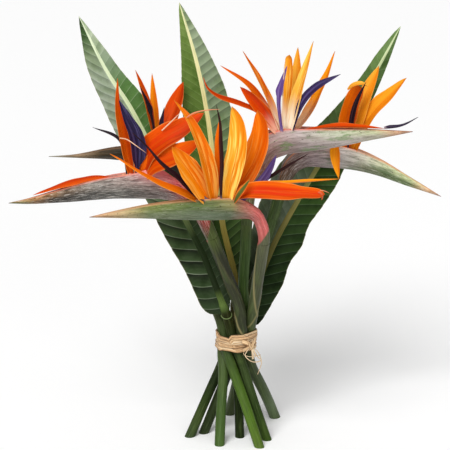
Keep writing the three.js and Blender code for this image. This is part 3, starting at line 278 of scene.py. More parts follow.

# The leaves.
# blade: the midrib's line above the petiole, whose top is at the height base. face: the way the blade
# looks. waves: how often its margin ripples. rim: the height of a wrapped sheath's rim, if there is one.
# crest: the pale colour painted on the pleats' crests as a highlight, also laid thinly on fine lines
# along the pleats. midrib, petiole: their colours.
# left, right: a half's width, its fold as the rise for each mm out, the mm from pleat to pleat, how far
# the pleats run on for each mm out at base and tip, their depth and the outline as ramps, and colours.
# The colours are darkest low down, in part painted shade where the flower heads shade the blade.
LEAVES = {
    "left_leaf": dict(
        blade=[(-17, -14, 172), (-32, 0, 207), (-51, 20, 240), (-80, 42, 297), (-112, 52, 361),
               (-139, 56, 403), (-169, 62, 463)],
        base=144, face=(0.15, -1, 0.1), waves=4, rim=143, crest="C2CEB2",
        midrib="0 222C12, 0.03 566A34, 0.055 4A5A2C, 0.08 1A2410, 0.25 26351A, 0.4 8FA468, 0.55 C4D6A0, "
               "1 DCE6C8",
        petiole="0 3B511C, 0.15 2E401A, 0.3 3A4A26, 0.45 28341A, 0.6 262A0D",
        left=dict(
            half=31, fold=0.12, pleat=13.5, skew=(0.4, 1.7),
            depth=[(0, 0.5), (0.15, 1), (0.35, 0.8), (0.5, 0.45), (1, 0.4)],
            outline=[(0, 0.3), (0.035, 0.74), (0.12, 0.8), (0.3, 0.95), (0.5, 1), (0.7, 0.88), (0.87, 0.52),
                     (1, 0.03)],
            colours="0 24361A, 0.15 2E4222, 0.3 465A38, 0.42 708064, 0.55 9CA894, 0.8 ACB8A6, "
                    "0.88 8C9C7C, 0.94 3F5E2E, 1 2E4A22",
        ),
        right=dict(
            half=21, fold=0.12, pleat=11, skew=(0.25, 0.4),
            depth=[(0, 0.25), (1, 0.2)],
            outline=[(0, 0.12), (0.035, 0.5), (0.12, 0.72), (0.3, 0.95), (0.5, 1), (0.7, 0.88),
                     (0.87, 0.52), (1, 0.03)],
            colours="0 1C2A12, 0.3 2A3E1E, 0.45 40602C, 0.6 4E7636, 0.76 567C40, 0.84 84987A, "
                    "0.93 B4C0A6, 1 9CB088",
        ),
    ),
    "middle_leaf": dict(
        blade=[(3, 24, 174), (-5, 40, 206), (-10, 48, 226), (-20, 58, 291), (-27, 61, 347), (-39, 60, 410),
               (-58, 54, 479)],
        base=144, face=(0, -1, 0.1), waves=3.5, rim=None, crest="A4BC7C",
        midrib="0 5C5832, 0.12 7D7235, 0.25 9A8C44, 0.42 C4B86C, 0.6 E0D694, 0.8 E6E2A8, 1 DEE0B0",
        petiole="0 1F2B12, 0.2 1A250C, 0.3 2E3A18, 0.5 46462A, 0.6 5C5832",
        left=dict(
            half=30, fold=0.14, pleat=9.5, skew=(0.8, 1.2),
            depth=[(0, 0.2), (1, 0.15)],
            outline=[(0, 0.12), (0.12, 0.3), (0.25, 0.78), (0.4, 0.96), (0.55, 1), (0.72, 0.8),
                     (0.88, 0.38), (1, 0.03)],
            colours="0 2A3A18, 0.35 3C5420, 0.55 5A7832, 0.75 66823C, 1 88A058",
        ),
        right=dict(
            half=31, fold=0.1, pleat=10.5, skew=(0.45, 0.5),
            depth=[(0, 0.8), (0.5, 0.6), (1, 0.45)],
            outline=[(0, 0.12), (0.12, 0.3), (0.25, 0.78), (0.4, 0.96), (0.55, 1), (0.72, 0.8),
                     (0.88, 0.38), (1, 0.03)],
            colours="0 2C3C16, 0.3 466030, 0.5 748C60, 0.72 94A78A, 0.9 9FAE92, 1 8EA078",
        ),
    ),
    "right_leaf": dict(
        blade=[(16, 21, 132), (22, 24, 144), (33, 32, 174), (50, 45, 212), (76, 59, 257), (103, 69, 301),
               (133, 76, 352), (158, 77, 393), (187, 74, 450)],
        base=126, face=(-0.1, -1, 0.1), waves=4.5, rim=None, crest="8AA080",
        midrib="0 2C340F, 0.15 4D4C22, 0.35 7C7440, 0.6 8C8C50, 0.75 B4C494, 1 C8D6A8",
        petiole="0 39482A, 0.1 3C4A24, 0.16 2E3E18, 0.28 1E2A12, 0.5 1F2606",
        left=dict(
            half=40, fold=0.08, pleat=12, skew=(0.6, 0.9),
            depth=[(0, 0.35), (0.6, 0.25), (1, 0.05)],
            outline=[(0, 0.1), (0.07, 0.3), (0.15, 0.49), (0.23, 0.68), (0.35, 0.95), (0.45, 1),
                     (0.52, 0.88), (0.59, 0.69), (0.66, 0.5), (0.73, 0.37), (0.82, 0.29), (0.89, 0.24),
                     (0.95, 0.14), (1, 0.03)],
            colours="0 1A2610, 0.15 2C3A22, 0.28 5A6450, 0.42 6E7866, 0.52 4A5C38, 0.75 5A7842, "
                    "0.9 6C8A50, 1 7C9460",
        ),
        right=dict(
            half=30, fold=0.2, pleat=12.5, skew=(0.6, 0.7),
            depth=[(0, 0.5), (0.3, 0.6), (0.55, 0.5), (0.7, 0.12), (1, 0.1)],
            outline=[(0, 0.5), (0.02, 0.62), (0.07, 0.7), (0.14, 0.9), (0.21, 0.8), (0.28, 0.98),
                     (0.35, 0.8), (0.42, 0.92), (0.51, 0.95), (0.6, 0.78), (0.7, 0.58), (0.81, 0.37),
                     (0.91, 0.2), (1, 0.03)],
            colours="0 16270A, 0.2 1E330E, 0.4 2E4718, 0.55 3C5922, 0.8 3F5A2C, 1 5A7440",
        ),
    ),
}


# Numbers

def smooth(low, high, x):
    """0 at low and 1 at high, with an even rise between them."""
    t = np.clip((x - low) / (high - low), 0, 1)
    return t * t * (3 - 2 * t)


def bell(x, width):
    """1 at 0, falling away on both sides within about the width."""
    return np.exp(-(x / width) ** 2)


def mix(a, b, t):
    return a + (b - a) * t


def unit(v):
    return v / np.maximum(np.linalg.norm(v, axis=-1, keepdims=True), 1e-12)


def within_half_turn(angle):
    return (angle + math.pi) % TURN - math.pi


def ramp(stops, x, blur):
    """The value of a ramp at x, its corners rounded over blur."""
    places, values = zip(*stops)
    return np.mean([np.interp(x + shift, places, values) for shift in np.linspace(-blur, blur, 9)], axis=0)


def swell(seed, *coordinates):
    """A smooth wandering value between about -1 and 1 of one or more coordinates."""
    draw = np.random.default_rng(seed)
    total = 0
    waves = 7
    for _ in range(waves):
        pace = draw.normal(0, 1, len(coordinates))
        phase = draw.uniform(0, TURN)
        total = total + np.sin(sum(p * c for p, c in zip(pace, coordinates)) + phase)
    return total / math.sqrt(2 * waves)


def ring_swell(seed, angle, pace, run):
    """A swell that closes round a ring; a greater pace makes it finer."""
    return swell(seed, pace * np.cos(angle), pace * np.sin(angle), run)


def round_section(radius, angle):
    return radius * np.sin(angle), radius * np.cos(angle)


def there_and_back(upper, lower, sign=1):
    """One ring from the rows of an upper and a lower side; sign is -1 for a mirrored half."""
    return np.concatenate([upper[:, ::sign], lower[:, ::-sign]], axis=1)


# Curves

def smooth_curve(knots, t):
    """Points and directions of the centripetal curve through the knots, t from 0 to 1."""
    knots = np.asarray(knots, float)
    padded = np.vstack([2 * knots[0] - knots[1], knots, 2 * knots[-1] - knots[-2]])
    spans = len(knots) - 1
    x = np.clip(t, 0, 1) * spans
    i = np.minimum(x.astype(int), spans - 1)
    w = (x - i)[:, None]
    p0, p1, p2, p3 = (padded[i + k] for k in range(4))
    d0, d1, d2 = (np.linalg.norm(b - a, axis=1)[:, None] ** 0.5 for a, b in ((p0, p1), (p1, p2), (p2, p3)))
    m1 = ((p1 - p0) / d0 - (p2 - p0) / (d0 + d1) + (p2 - p1) / d1) * d1
    m2 = ((p2 - p1) / d1 - (p3 - p1) / (d1 + d2) + (p3 - p2) / d2) * d1
    a = 2 * p1 - 2 * p2 + m1 + m2
    b = -3 * p1 + 3 * p2 - 2 * m1 - m2
    return ((a * w + b) * w + m1) * w + p1, unit((3 * a * w + 2 * b) * w + m1)


class Course:
    """Stations at equal distances along a curve: their places, ways ahead, shares u and lengths run."""

    def __init__(self, knots, count, start=0.0):
        fine = np.linspace(start, 1, 1500)
        points, _ = smooth_curve(knots, fine)
        lengths = np.concatenate([[0], np.cumsum(np.linalg.norm(np.diff(points, axis=0), axis=1))])
        self.u = np.linspace(0, 1, count)[:, None]
        self.run = self.u * lengths[-1]
        self.place, self.ahead = smooth_curve(knots, np.interp(self.run[:, 0], lengths, fine))

    def turn_to(self, side):
        """Sets the side direction nearest to the one asked for, and the one at right angles to it."""
        side = np.asarray(side, float)
        self.side = unit(side - self.ahead * np.sum(self.ahead * side, axis=1, keepdims=True))
        self.up = np.cross(self.side, self.ahead)
        return self

    def face_to(self, face):
        return self.turn_to(-np.cross(np.asarray(face, float), self.ahead))

    def turned(self, sides):
        """The angles of a ring's points, a row for each station."""
        return np.tile(np.linspace(0, TURN, sides, endpoint=False), (len(self.place), 1))

    def put(self, x, y):
        """Points at x to the side and y up from each station; x and y hold a row for each."""
        return self.place[:, None] + self.side[:, None] * x[..., None] + self.up[:, None] * y[..., None]

    def straight(self, x, y):
        """The same points on the straightened piece: across, up and along."""
        return np.stack(np.broadcast_arrays(x, y, self.run), -1)


def stalk_line(node, heights, top):
    """Centres and radii of a stalk's solid at some heights and, carried on from them, at its top."""
    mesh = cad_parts[node].data
    places = np.empty(len(mesh.vertices) * 3)
    mesh.vertices.foreach_get("co", places)
    pairs = np.empty(len(mesh.edges) * 2, int)
    mesh.edges.foreach_get("vertices", pairs)
    places = places.reshape(-1, 3) / MM - SHIFT
    a, b = places[pairs.reshape(-1, 2)].transpose(1, 0, 2)
    cuts = []
    for z in heights:
        crossing = (a[:, 2] - z) * (b[:, 2] - z) < 0
        t = (z - a[crossing, 2]) / (b[crossing, 2] - a[crossing, 2])
        cuts.append(mix(a[crossing], b[crossing], t[:, None]))
    centres = [cut.mean(0) for cut in cuts]
    step = (centres[-1] - centres[-2]) * (top - heights[-1]) / (heights[-1] - heights[-2])
    centres = np.array(centres + [centres[-1] + step])
    cuts.append(cuts[-1] + step)
    radii = []
    for centre, way, cut in zip(centres, unit(np.gradient(centres, axis=0)), cuts):
        out = cut - centre
        radii.append(np.linalg.norm(out - np.outer(out @ way, way), axis=1).max())
    return centres, np.array(radii)


# Meshes

class Piece:
    """A mesh gathered from lofts. names are the values at its points that its finish reads."""

    def __init__(self, *names):
        self.names = names
        self.points, self.quads, self.triangles = [], [], []

    def loft(self, rings, straight, **values):
        """Adds a closed skin through rings of points. A value that isn't given is 0."""
        rows, sides = rings.shape[:2]
        columns = [np.broadcast_to(values.get(name, 0.0), (rows, sides))[..., None] for name in self.names]
        points = np.concatenate([rings, straight, *columns], axis=-1)
        start = sum(len(part) for part in self.points)
        i = start + np.arange(rows * sides).reshape(rows, sides)
        j = np.roll(i, -1, axis=1)
        first = np.full(sides, start + rows * sides)
        self.quads.append(np.stack([i[:-1], j[:-1], j[1:], i[1:]], -1).reshape(-1, 4))
        self.triangles.append(np.stack([first, j[0], i[0]], -1))
        self.triangles.append(np.stack([first + 1, i[-1], j[-1]], -1))
        self.points += [points.reshape(rows * sides, -1), points[[0, -1]].mean(1)]

    def skin(self, course, x, y, **values):
        self.loft(course.put(x, y), course.straight(x, y), **values)

    def make(self, name, material, slot, *nodes, sharp=50):
        """Writes the mesh, in place of the nodes. Edges are sharp from that angle in degrees."""
        points = np.vstack(self.points)
        quads, triangles = np.vstack(self.quads), np.vstack(self.triangles)
        corners = np.concatenate([quads.ravel(), triangles.ravel()])
        starts = np.concatenate([np.arange(0, quads.size, 4), np.arange(quads.size, len(corners), 3)])
        mesh = bpy.data.meshes.new(name)
        mesh.vertices.add(len(points))
        mesh.vertices.foreach_set("co", ((points[:, :3] + SHIFT) * MM).ravel())
        mesh.loops.add(len(corners))
        mesh.loops.foreach_set("vertex_index", corners)
        mesh.polygons.add(len(starts))
        mesh.polygons.foreach_set("loop_start", starts)
        mesh.polygons.foreach_set("use_smooth", np.ones(len(starts), bool))
        values = points.astype(np.float32)
        local = mesh.attributes.new("local", "FLOAT_VECTOR", "POINT")
        local.data.foreach_set("vector", values[:, 3:6].ravel())
        for column, key in enumerate(self.names, 6):
            mesh.attributes.new(key, "FLOAT", "POINT").data.foreach_set("value", values[:, column].ravel())
        mesh.update(calc_edges=True)
        mesh.validate()
        mesh.set_sharp_from_angle(angle=math.radians(sharp))
        mesh.materials.append(material)
        piece = bpy.data.objects.new(name, mesh)
        bpy.context.scene.collection.objects.link(piece)
        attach(piece, "root")
        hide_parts(*nodes)


# Finishes

def colour(text):
    """The linear colour of six hexadecimal digits."""
    shares = [int(text[i:i + 2], 16) / 255 for i in (0, 2, 4)]
    return [s / 12.92 if s <= 0.04045 else ((s + 0.055) / 1.055) ** 2.4 for s in shares] + [1.0]


class Finish:
    """A material. Each method adds nodes and gives their output; base is its colour so far."""

    def __init__(self, name):
        self.material = bpy.data.materials.new(name)
        self.material.use_nodes = True
        self.tree = self.material.node_tree
        self.shader = self.tree.nodes["Principled BSDF"]

    def add(self, kind, inputs, output=0, **settings):
        node = self.tree.nodes.new(kind)
        for key, value in settings.items():
            setattr(node, key, value)
        for key, value in inputs.items():
            self.set(node.inputs[key], value)
        return node.outputs[output]

    def set(self, socket, value):
        if isinstance(value, bpy.types.NodeSocket):
            self.tree.links.new(value, socket)
        else:
            socket.default_value = colour(value) if isinstance(value, str) else value

    def value(self, name, output=2):
        return self.add("ShaderNodeAttribute", {}, output, attribute_name=name)

    def math(self, operation, a, b=0.0):
        return self.add("ShaderNodeMath", {0: a, 1: b}, operation=operation)

    def plus(self, a, b):
        return self.math("ADD", a, b)

    def times(self, first, *others):
        for other in others:
            first = self.math("MULTIPLY", first, other)
        return first

    def size(self, x):
        return self.math("ABSOLUTE", x)

    def noise(self, scales, detail=3.0, roughness=0.55):
        """Noise on the straightened piece, its scales across, up and along it for each mm."""
        local = self.value("local", 1)
        place = self.add("ShaderNodeVectorMath", {0: local, 1: scales}, operation="MULTIPLY")
        inputs = {"Vector": place, "Scale": 1.0, "Detail": detail, "Roughness": roughness}
        return self.add("ShaderNodeTexNoise", inputs)

    def band(self, x, low, high, bottom=0.0, top=1.0):
        inputs = {"Value": x, "From Min": low, "From Max": high, "To Min": bottom, "To Max": top}
        return self.add("ShaderNodeMapRange", inputs, interpolation_type="SMOOTHSTEP")

    def stops(self, x, run):
        """The colour at x of a run of colours."""
        output = self.add("ShaderNodeValToRGB", {0: x})
        elements = output.node.color_ramp.elements
        elements.remove(elements[-1])
        for k, (place, shade) in enumerate(stop.split() for stop in run.split(", ")):
            element = elements.new(float(place)) if k else elements[0]
            element.position = float(place)
            element.color = colour(shade)
        return output

    def mix(self, share, a, b, blend="MIX"):
        return self.add("ShaderNodeMix", {0: share, 6: a, 7: b}, 2, data_type="RGBA", blend_type=blend)

    def paint(self, share, shade, blend="MIX"):
        """Lays a share of another colour over the base."""
        self.base = self.mix(share, self.base, shade, blend)

    def wash(self, x, low, high, most, shade, blend="MIX"):
        """Lays another colour over the base, none of it where x is low and the most where it's high."""
        self.paint(self.band(x, low, high, 0, most), shade, blend)

    def finish(self, roughness, height=None, depth=0.2, specular=0.5, **constants):
        """Sets the shader's inputs; depth is the relief in mm."""
        inputs = {"Base Color": self.base, "Roughness": roughness, "Specular IOR Level": specular}
        for key, value in (inputs | constants).items():
            self.set(self.shader.inputs[key.replace("_", " ")], value)
        if height is not None:
            bump = self.add("ShaderNodeBump", {"Height": height, "Strength": 1.0, "Distance": depth * MM})
            self.set(self.shader.inputs["Normal"], bump)
        return self.material


def stem_base(f, along, colours):
    """Makes the fibrous green of a stalk the base; gives the fibres and the clouding."""
    f.base = f.stops(along, colours)
    fibres = f.noise((1.3, 1.3, 0.03), 4, 0.65)
    cloud = f.noise((0.12, 0.12, 0.035))
    f.wash(fibres, 0.4, 0.66, 0.6, "8A8C6E", "MULTIPLY")
    f.wash(fibres, 0.44, 0.26, 0.3, "93A56C")
    f.wash(cloud, 0.48, 0.7, 0.25, "586A34")
    f.wash(f.noise((0.5, 0.5, 0.2), 4, 0.7), 0.55, 0.75, 0.4, "2A2A1C")
    return fibres, cloud


def stalk_finish(name, colours):
    f = Finish(name)
    fibres, cloud = stem_base(f, f.value("along"), colours)
    f.paint(f.times(f.value("sheath"), 0.1), "5A6A3E")
    f.paint(f.times(f.value("edge"), 0.7), "A89A68")
    f.paint(f.value("blush"), "A8544C")
    f.wash(f.noise((0.9, 0.9, 0.6), 2), 0.68, 0.76, 0.6, "221E10")
    pith = f.noise((2.2, 2.2, 1.0))
    f.paint(f.value("cut"), f.stops(pith, "0.3 8A9660, 0.55 C4C494, 0.75 A89868"))
    relief = f.plus(f.times(fibres, 0.7), f.times(pith, f.value("cut")))
    return f.finish(f.band(cloud, 0.3, 0.7, 0.34, 0.55), relief, 0.25, 0.14)


def spathe_finish(name, flower):
    f = Finish(name)
    along = f.value("along")
    upper, lower = f.stops(along, flower["upper"]), f.stops(along, flower["lower"])
    # The underside takes the lower colours: in part its own colour, in part painted shade.
    f.base = f.mix(f.band(f.value("height"), -0.35, 0.75), lower, upper)
    fibres = f.noise((1.3, 1.3, 0.07), 5, 0.7)
    f.wash(fibres, 0.5, 0.7, 0.7 * flower["streaks"], "E4DED6")
    f.wash(fibres, 0.5, 0.34, 0.9 * flower["streaks"], flower["blotch"], "MULTIPLY")
    broad = f.noise((0.4, 0.4, 0.03))
    f.wash(broad, 0.45, 0.65, 0.4, "8C8478", "MULTIPLY")
    cloud = f.noise((0.1, 0.16, 0.05), 4, 0.6)
    middle = f.times(f.band(along, 0.3, 0.45), f.band(along, 0.88, 0.75))
    f.paint(f.times(f.band(cloud, 0.52, 0.62, 0, flower["blotches"]), middle), flower["blotch"])
    f.wash(f.noise((0.6, 0.6, 0.3)), 0.64, 0.7, 0.8, "33241C")
    f.paint(f.times(f.value("rim"), 0.9), flower["rim"])
    # The groove's inner face: in part its own colour, in part painted shade in the hollow.
    f.paint(f.value("inside"), flower["inside"])
    f.paint(f.value("arch"), "F28488")
    spathe_base = f.base
    neck_colour = flower["stalk"].split()[-1]
    stem_base(f, 1.0, f"0 {neck_colour}, 1 {neck_colour}")
    f.base = f.mix(f.value("stem"), spathe_base, f.base)
    relief = f.plus(f.times(fibres, 0.8), f.times(cloud, 0.5))
    return f.finish(f.band(broad, 0.3, 0.7, 0.34, 0.55), relief, 0.45, 0.18)


def sepal_finish():
    f = Finish("sepal_orange")
    along, across, tone = f.value("along"), f.value("across"), f.value("tone")
    wide = f.size(across)
    # Each tone's orange as lit, and below it a darker copy as shaded, for painted light and shade.
    lit_orange = f.stops(tone, "0 F2C04C, 0.3 EE940E, 0.55 E87402, 0.8 DE5200, 1 D03E00")
    shaded_orange = f.stops(tone, "0 DC8E1C, 0.3 DA7000, 0.55 D05000, 0.8 B63200, 1 8C2000")
    veins = f.noise((1.1, 0.5, 0.025), 3, 0.6)
    folds = f.noise((0.3, 0.1, 0.012), 1.5, 0.5)
    lines = f.noise((0.34, 0.0, 0.018), 2.5, 0.6)
    # Painted shade over one margin, broken by the noise folds; the veins are darker streaks of the shaded
    # copy.
    f.base = f.mix(f.band(f.plus(across, f.times(folds, 1.4)), 0.2, 1.5), lit_orange, shaded_orange)
    f.wash(veins, 0.48, 0.64, 0.6, shaded_orange)
    # Painted highlight on the crests of the noise folds.
    f.wash(folds, 0.56, 0.68, 0.45, lit_orange)
    heart = f.times(f.band(wide, 0.75, 0.25), f.band(folds, 0.62, 0.45), f.value("heart"))
    f.paint(f.times(heart, f.band(along, 0.1, 0.4, 0.35, 1.0)), "CC2E02")
    # Painted shade in the middle crease, fading towards the tip.
    f.paint(f.times(f.band(wide, 0.1, 0.0, 0, 0.45), f.band(along, 0.95, 0.6)), "C84A06")
    cream = f.times(f.band(lines, 0.47, 0.6), f.value("cream"), f.band(along, 1.0, 0.7))
    f.paint(f.times(cream, 0.85), "FBD468")
    root = f.band(f.plus(along, f.times(lines, 0.3)), 0.62, 0.22)
    f.paint(f.times(root, f.value("pale")), "FFF3D8")
    f.wash(along, 0.08, 0.0, 0.5, "D86A40")
    f.wash(wide, 0.88, 1.0, 0.28, "FFC468")
    f.wash(along, 0.93, 1.0, 0.5, "8E4A1C")
    f.paint(f.times(f.value("fleshy"), 0.85), "DFA080")
    f.paint(f.value("thread"), "E8CFAE")
    f.paint(f.times(f.value("green"), f.band(wide, 1.0, 0.5)), "54602C")
    return f.finish(f.band(veins, 0.3, 0.7, 0.36, 0.52), veins, 0.4, 0.07)


def tongue_finish():
    f = Finish("tongue_violet")
    along, across, dark = f.value("along"), f.value("across"), f.value("dark")
    shade = f.stops(dark, "0 64488C, 0.3 3A2A5C, 0.5 1E1636, 0.8 1C0E1A, 1 240A0A")
    gleam = f.stops(dark, "0 9A84B6, 0.3 70609A, 0.5 5A5484, 0.8 44303E, 1 4C2018")
    veins = f.noise((1.3, 0.6, 0.03), 4)
    f.base = shade
    f.wash(veins, 0.48, 0.7, 0.75, gleam)
    ridge = f.band(f.size(f.plus(across, 0.35)), 0.3, 0.0, 0, 0.55)
    f.paint(f.times(ridge, f.band(along, 0.95, 0.5)), gleam)
    f.wash(along, 0.1, 0.0, 0.6, "B09AA0")
    f.wash(f.size(across), 0.85, 1.0, 0.5, shade)
    return f.finish(f.band(veins, 0.3, 0.7, 0.34, 0.5), veins, 0.2, 0.14)


def leaf_finish(name, leaf):
    f = Finish(name)
    along, across, pleat, depth = (f.value(key) for key in ("along", "across", "pleat", "depth"))
    # The halves' colours, darkest low down: in part painted shade under the flower heads.
    left, right = (f.stops(along, leaf[side]["colours"]) for side in ("left", "right"))
    f.base = f.mix(f.band(across, -0.02, 0.02), left, right)
    step = f.math("FRACT", pleat)
    # Painted light and shade across each pleat: pale at the crest, darkest in the valley, as strong as the
    # pleats' depth.
    pleat_shade = "0 40502E, 0.07 FFFFFF, 0.3 E8ECDC, 0.6 AAB498, 0.88 5C6A4A, 0.96 2E3A1E, 1 40502E"
    f.paint(depth, f.stops(step, pleat_shade), "MULTIPLY")
    # A painted highlight: a thin pale line on each crest.
    crest = f.times(f.band(step, 0.12, 0.05), f.band(step, 0.0, 0.04, 0, 0.55))
    shown = f.math("MAXIMUM", f.times(depth, 0.75), f.band(along, 0.3, 0.55, 0, 0.6))
    f.paint(f.times(crest, f.times(shown, 0.65)), leaf["crest"])
    fine = {"Vector": f.add("ShaderNodeCombineXYZ", {0: pleat}), "Scale": 3.0, "Distortion": 0.6}
    lines = f.add("ShaderNodeTexWave", fine | {"Detail": 2.0}, 1)
    f.wash(lines, 0.5, 0.95, 0.06, leaf["crest"])
    cloud = f.noise((0.06, 0.06, 0.05), 4)
    f.wash(cloud, 0.4, 0.7, 0.6, "5A6C3A", "SOFT_LIGHT")
    grain = f.noise((1.4, 1.4, 1.4))
    f.wash(grain, 0.5, 0.8, 0.3, "7C8C60", "MULTIPLY")
    f.wash(f.size(across), 0.965, 1.0, 0.5, "9A9660")
    blade = f.base
    f.base = f.stops(along, leaf["midrib"])
    f.wash(f.noise((1.1, 1.1, 0.04), 4), 0.45, 0.7, 0.4, "8E9A5A", "MULTIPLY")
    rib = f.base
    stem_base(f, f.value("climb"), leaf["petiole"])
    f.paint(f.band(along, 0.0, 0.02), rib)
    f.base = f.mix(f.value("rib"), blade, f.base)
    f.paint(f.value("cut"), "B9BC86")
    relief = f.plus(f.times(lines, 0.6), f.times(grain, 0.4))
    return f.finish(f.band(cloud, 0.3, 0.7, 0.4, 0.58), relief, 0.3, 0.06)


def raffia_finish():
    f = Finish("raffia_straw")
    fibres = f.noise((2.2, 2.2, 0.05), 5, 0.7)
    f.base = f.stops(fibres, "0.3 6A4622, 0.43 B48A5A, 0.54 DDB98A, 0.66 FDEBC8")
    f.wash(f.noise((0.2, 0.2, 0.05)), 0.45, 0.65, 0.4, "C09474")
    f.paint(0.5, f.stops(f.value("tint"), "0 B08458, 0.3 D8B084, 0.7 EED6AC, 1 FAF0D4"))
    # Painted shade at each strand's edges, where the strands lie against each other.
    f.wash(f.size(f.value("across")), 0.5, 1.0, 0.85, "8A6440", "MULTIPLY")
    rough = f.band(fibres, 0.3, 0.7, 0.72, 0.92)
    return f.finish(rough, fibres, 0.6, 0.15, Sheen_Weight=0.15, Sheen_Roughness=0.5)


# Stalks

STALK_RADIUS = 6.0
STALK_ROWS, STALK_SIDES = 190, 48
FLUTES = 17
# How far a skin's middle level lies under its solid's, to leave room for the relief
INSET = 0.35
# The heights where the solids of the stalks are measured
STALK_HEIGHTS = [0.05, 26, 52, 70, 81, 90, 98, 106, 114, 122, 132, 144, 160, 184, 212]
# How fast a bract's edge falls round the stalk from its point
FALL_PACE = 2.2

LINES = {name: stalk_line(f"{name}_stalk", STALK_HEIGHTS + [228], NECK) for name in FLOWERS}
for name, form in LEAVES.items():
    top = form["base"]
    LINES[name] = stalk_line(name, [z for z in STALK_HEIGHTS if z < top - 8] + [top - 6], top)


def collar(height, fall, bearing, angle, z):
    """Share by which a wrapped bract covers a stalk, and how near its free edge is."""
    away = np.abs(within_half_turn(angle - math.radians(bearing))) / math.pi
    near = np.exp(-FALL_PACE * away)
    fall = fall / (1 - math.exp(-FALL_PACE))
    slope = FALL_PACE * fall * near / (math.pi * STALK_RADIUS)
    inside = (height - fall * (1 - near) - z) / np.sqrt(1 + slope ** 2)
    return smooth(-0.5, 0.9, inside), bell(inside - 0.7, 0.8)


def level_foot(rings, course):
    """Moves the first rings along the stalk, so that its end lies level on the surface."""
    least = 0.03 * np.arange(len(rings))[:, None]
    lift = np.maximum(least - rings[:, :, 2], 0)
    lift[0] = -rings[0, :, 2]
    return rings + course.ahead[:, None] * (lift / course.ahead[:, 2:])[..., None]


def cut_loft(piece, rings, straight, **values):
    """Adds a stalk, with two rings for the level cut face, set a little into its foot."""
    shrink = np.array([0.3, 0.93])[:, None, None]
    centre = rings[0].mean(0)
    face = centre + (rings[0] - centre) * shrink + np.array([0, 0, 0.3])
    row = np.arange(-2, len(rings))
    for key, value in values.items():
        values[key] = np.broadcast_to(value, rings.shape[:2])[np.maximum(row, 0)]
    cut = (row < 0)[:, None]
    straight = np.concatenate([straight[:1] * shrink, straight])
    piece.loft(np.concatenate([face, rings]), straight, cut=cut, **values)


def blush_of(flower, points):
    """How pink a neck is: all of it above a slanting line across the front of it."""
    (x, z), rise, blur = flower["blush"]
    return smooth(-blur, blur, points[..., 2] - z - rise * (points[..., 0] - x))


def flower_stalk(name, seed):
    flower = FLOWERS[name]
    centres, radii = LINES[name]
    course = Course(centres, STALK_ROWS).turn_to((0, -flower["beak"], 0))
    angle = course.turned(STALK_SIDES)
    z = course.place[:, 2:]
    flutes = 0.07 * np.cos(FLUTES * angle + 0.8 * swell(seed, z / 60))
    relief = flutes + 0.12 * ring_swell(seed + 1, angle, 2, z / 25)
    cover, edges = np.zeros(angle.shape), np.zeros(angle.shape)
    for height, fall, bearing, paleness in flower["sheaths"]:
        inside, edge = collar(height, fall, bearing, angle, z)
        relief = relief + 0.45 * inside + 0.2 * edge
        cover = np.maximum(cover, inside)
        edges = np.maximum(edges, paleness * edge)
    fade = smooth(0, 6, NECK - z)
    x, y = round_section(np.interp(z, centres[:, 2], radii) - INSET + relief * fade, angle)
    rings = level_foot(course.put(x, y), course)
    piece = Piece("along", "sheath", "edge", "blush", "cut")
    cut_loft(piece, rings, course.straight(x, y), along=course.u, sheath=cover, edge=edges * fade,
             blush=blush_of(flower, rings))
    skin = stalk_finish(f"{name}_stem_skin", flower["stalk"])
    piece.make(f"{name}_stem", skin, "stalk", f"{name}_stalk")


# Spathes

# The angle from the top where the rim of the groove is
RIM = math.radians(60)
SPATHE_ROWS, SPATHE_SIDES = 160, 88


def spathe_section(angle, radius, roundness, half, up, down, groove):
    """Side and height of the section at each angle from the top, with its shares inside and below."""
    turn = np.abs(angle)
    inside = 1 - np.minimum(turn / RIM, 1)
    below = np.clip((turn - RIM) / (math.pi - RIM), 0, 1)
    x = np.where(turn < RIM, 0.6 * half * (1 - inside) ** 0.85, half * (1 - below) * (0.6 + 2.6 * below))
    y = np.where(turn < RIM, up - groove * inside ** 0.8, mix(up, -down, below))
    round_x, round_y = round_section(radius, turn)
    return np.sign(angle) * mix(x, round_x, roundness), mix(y, round_y, roundness), inside, below


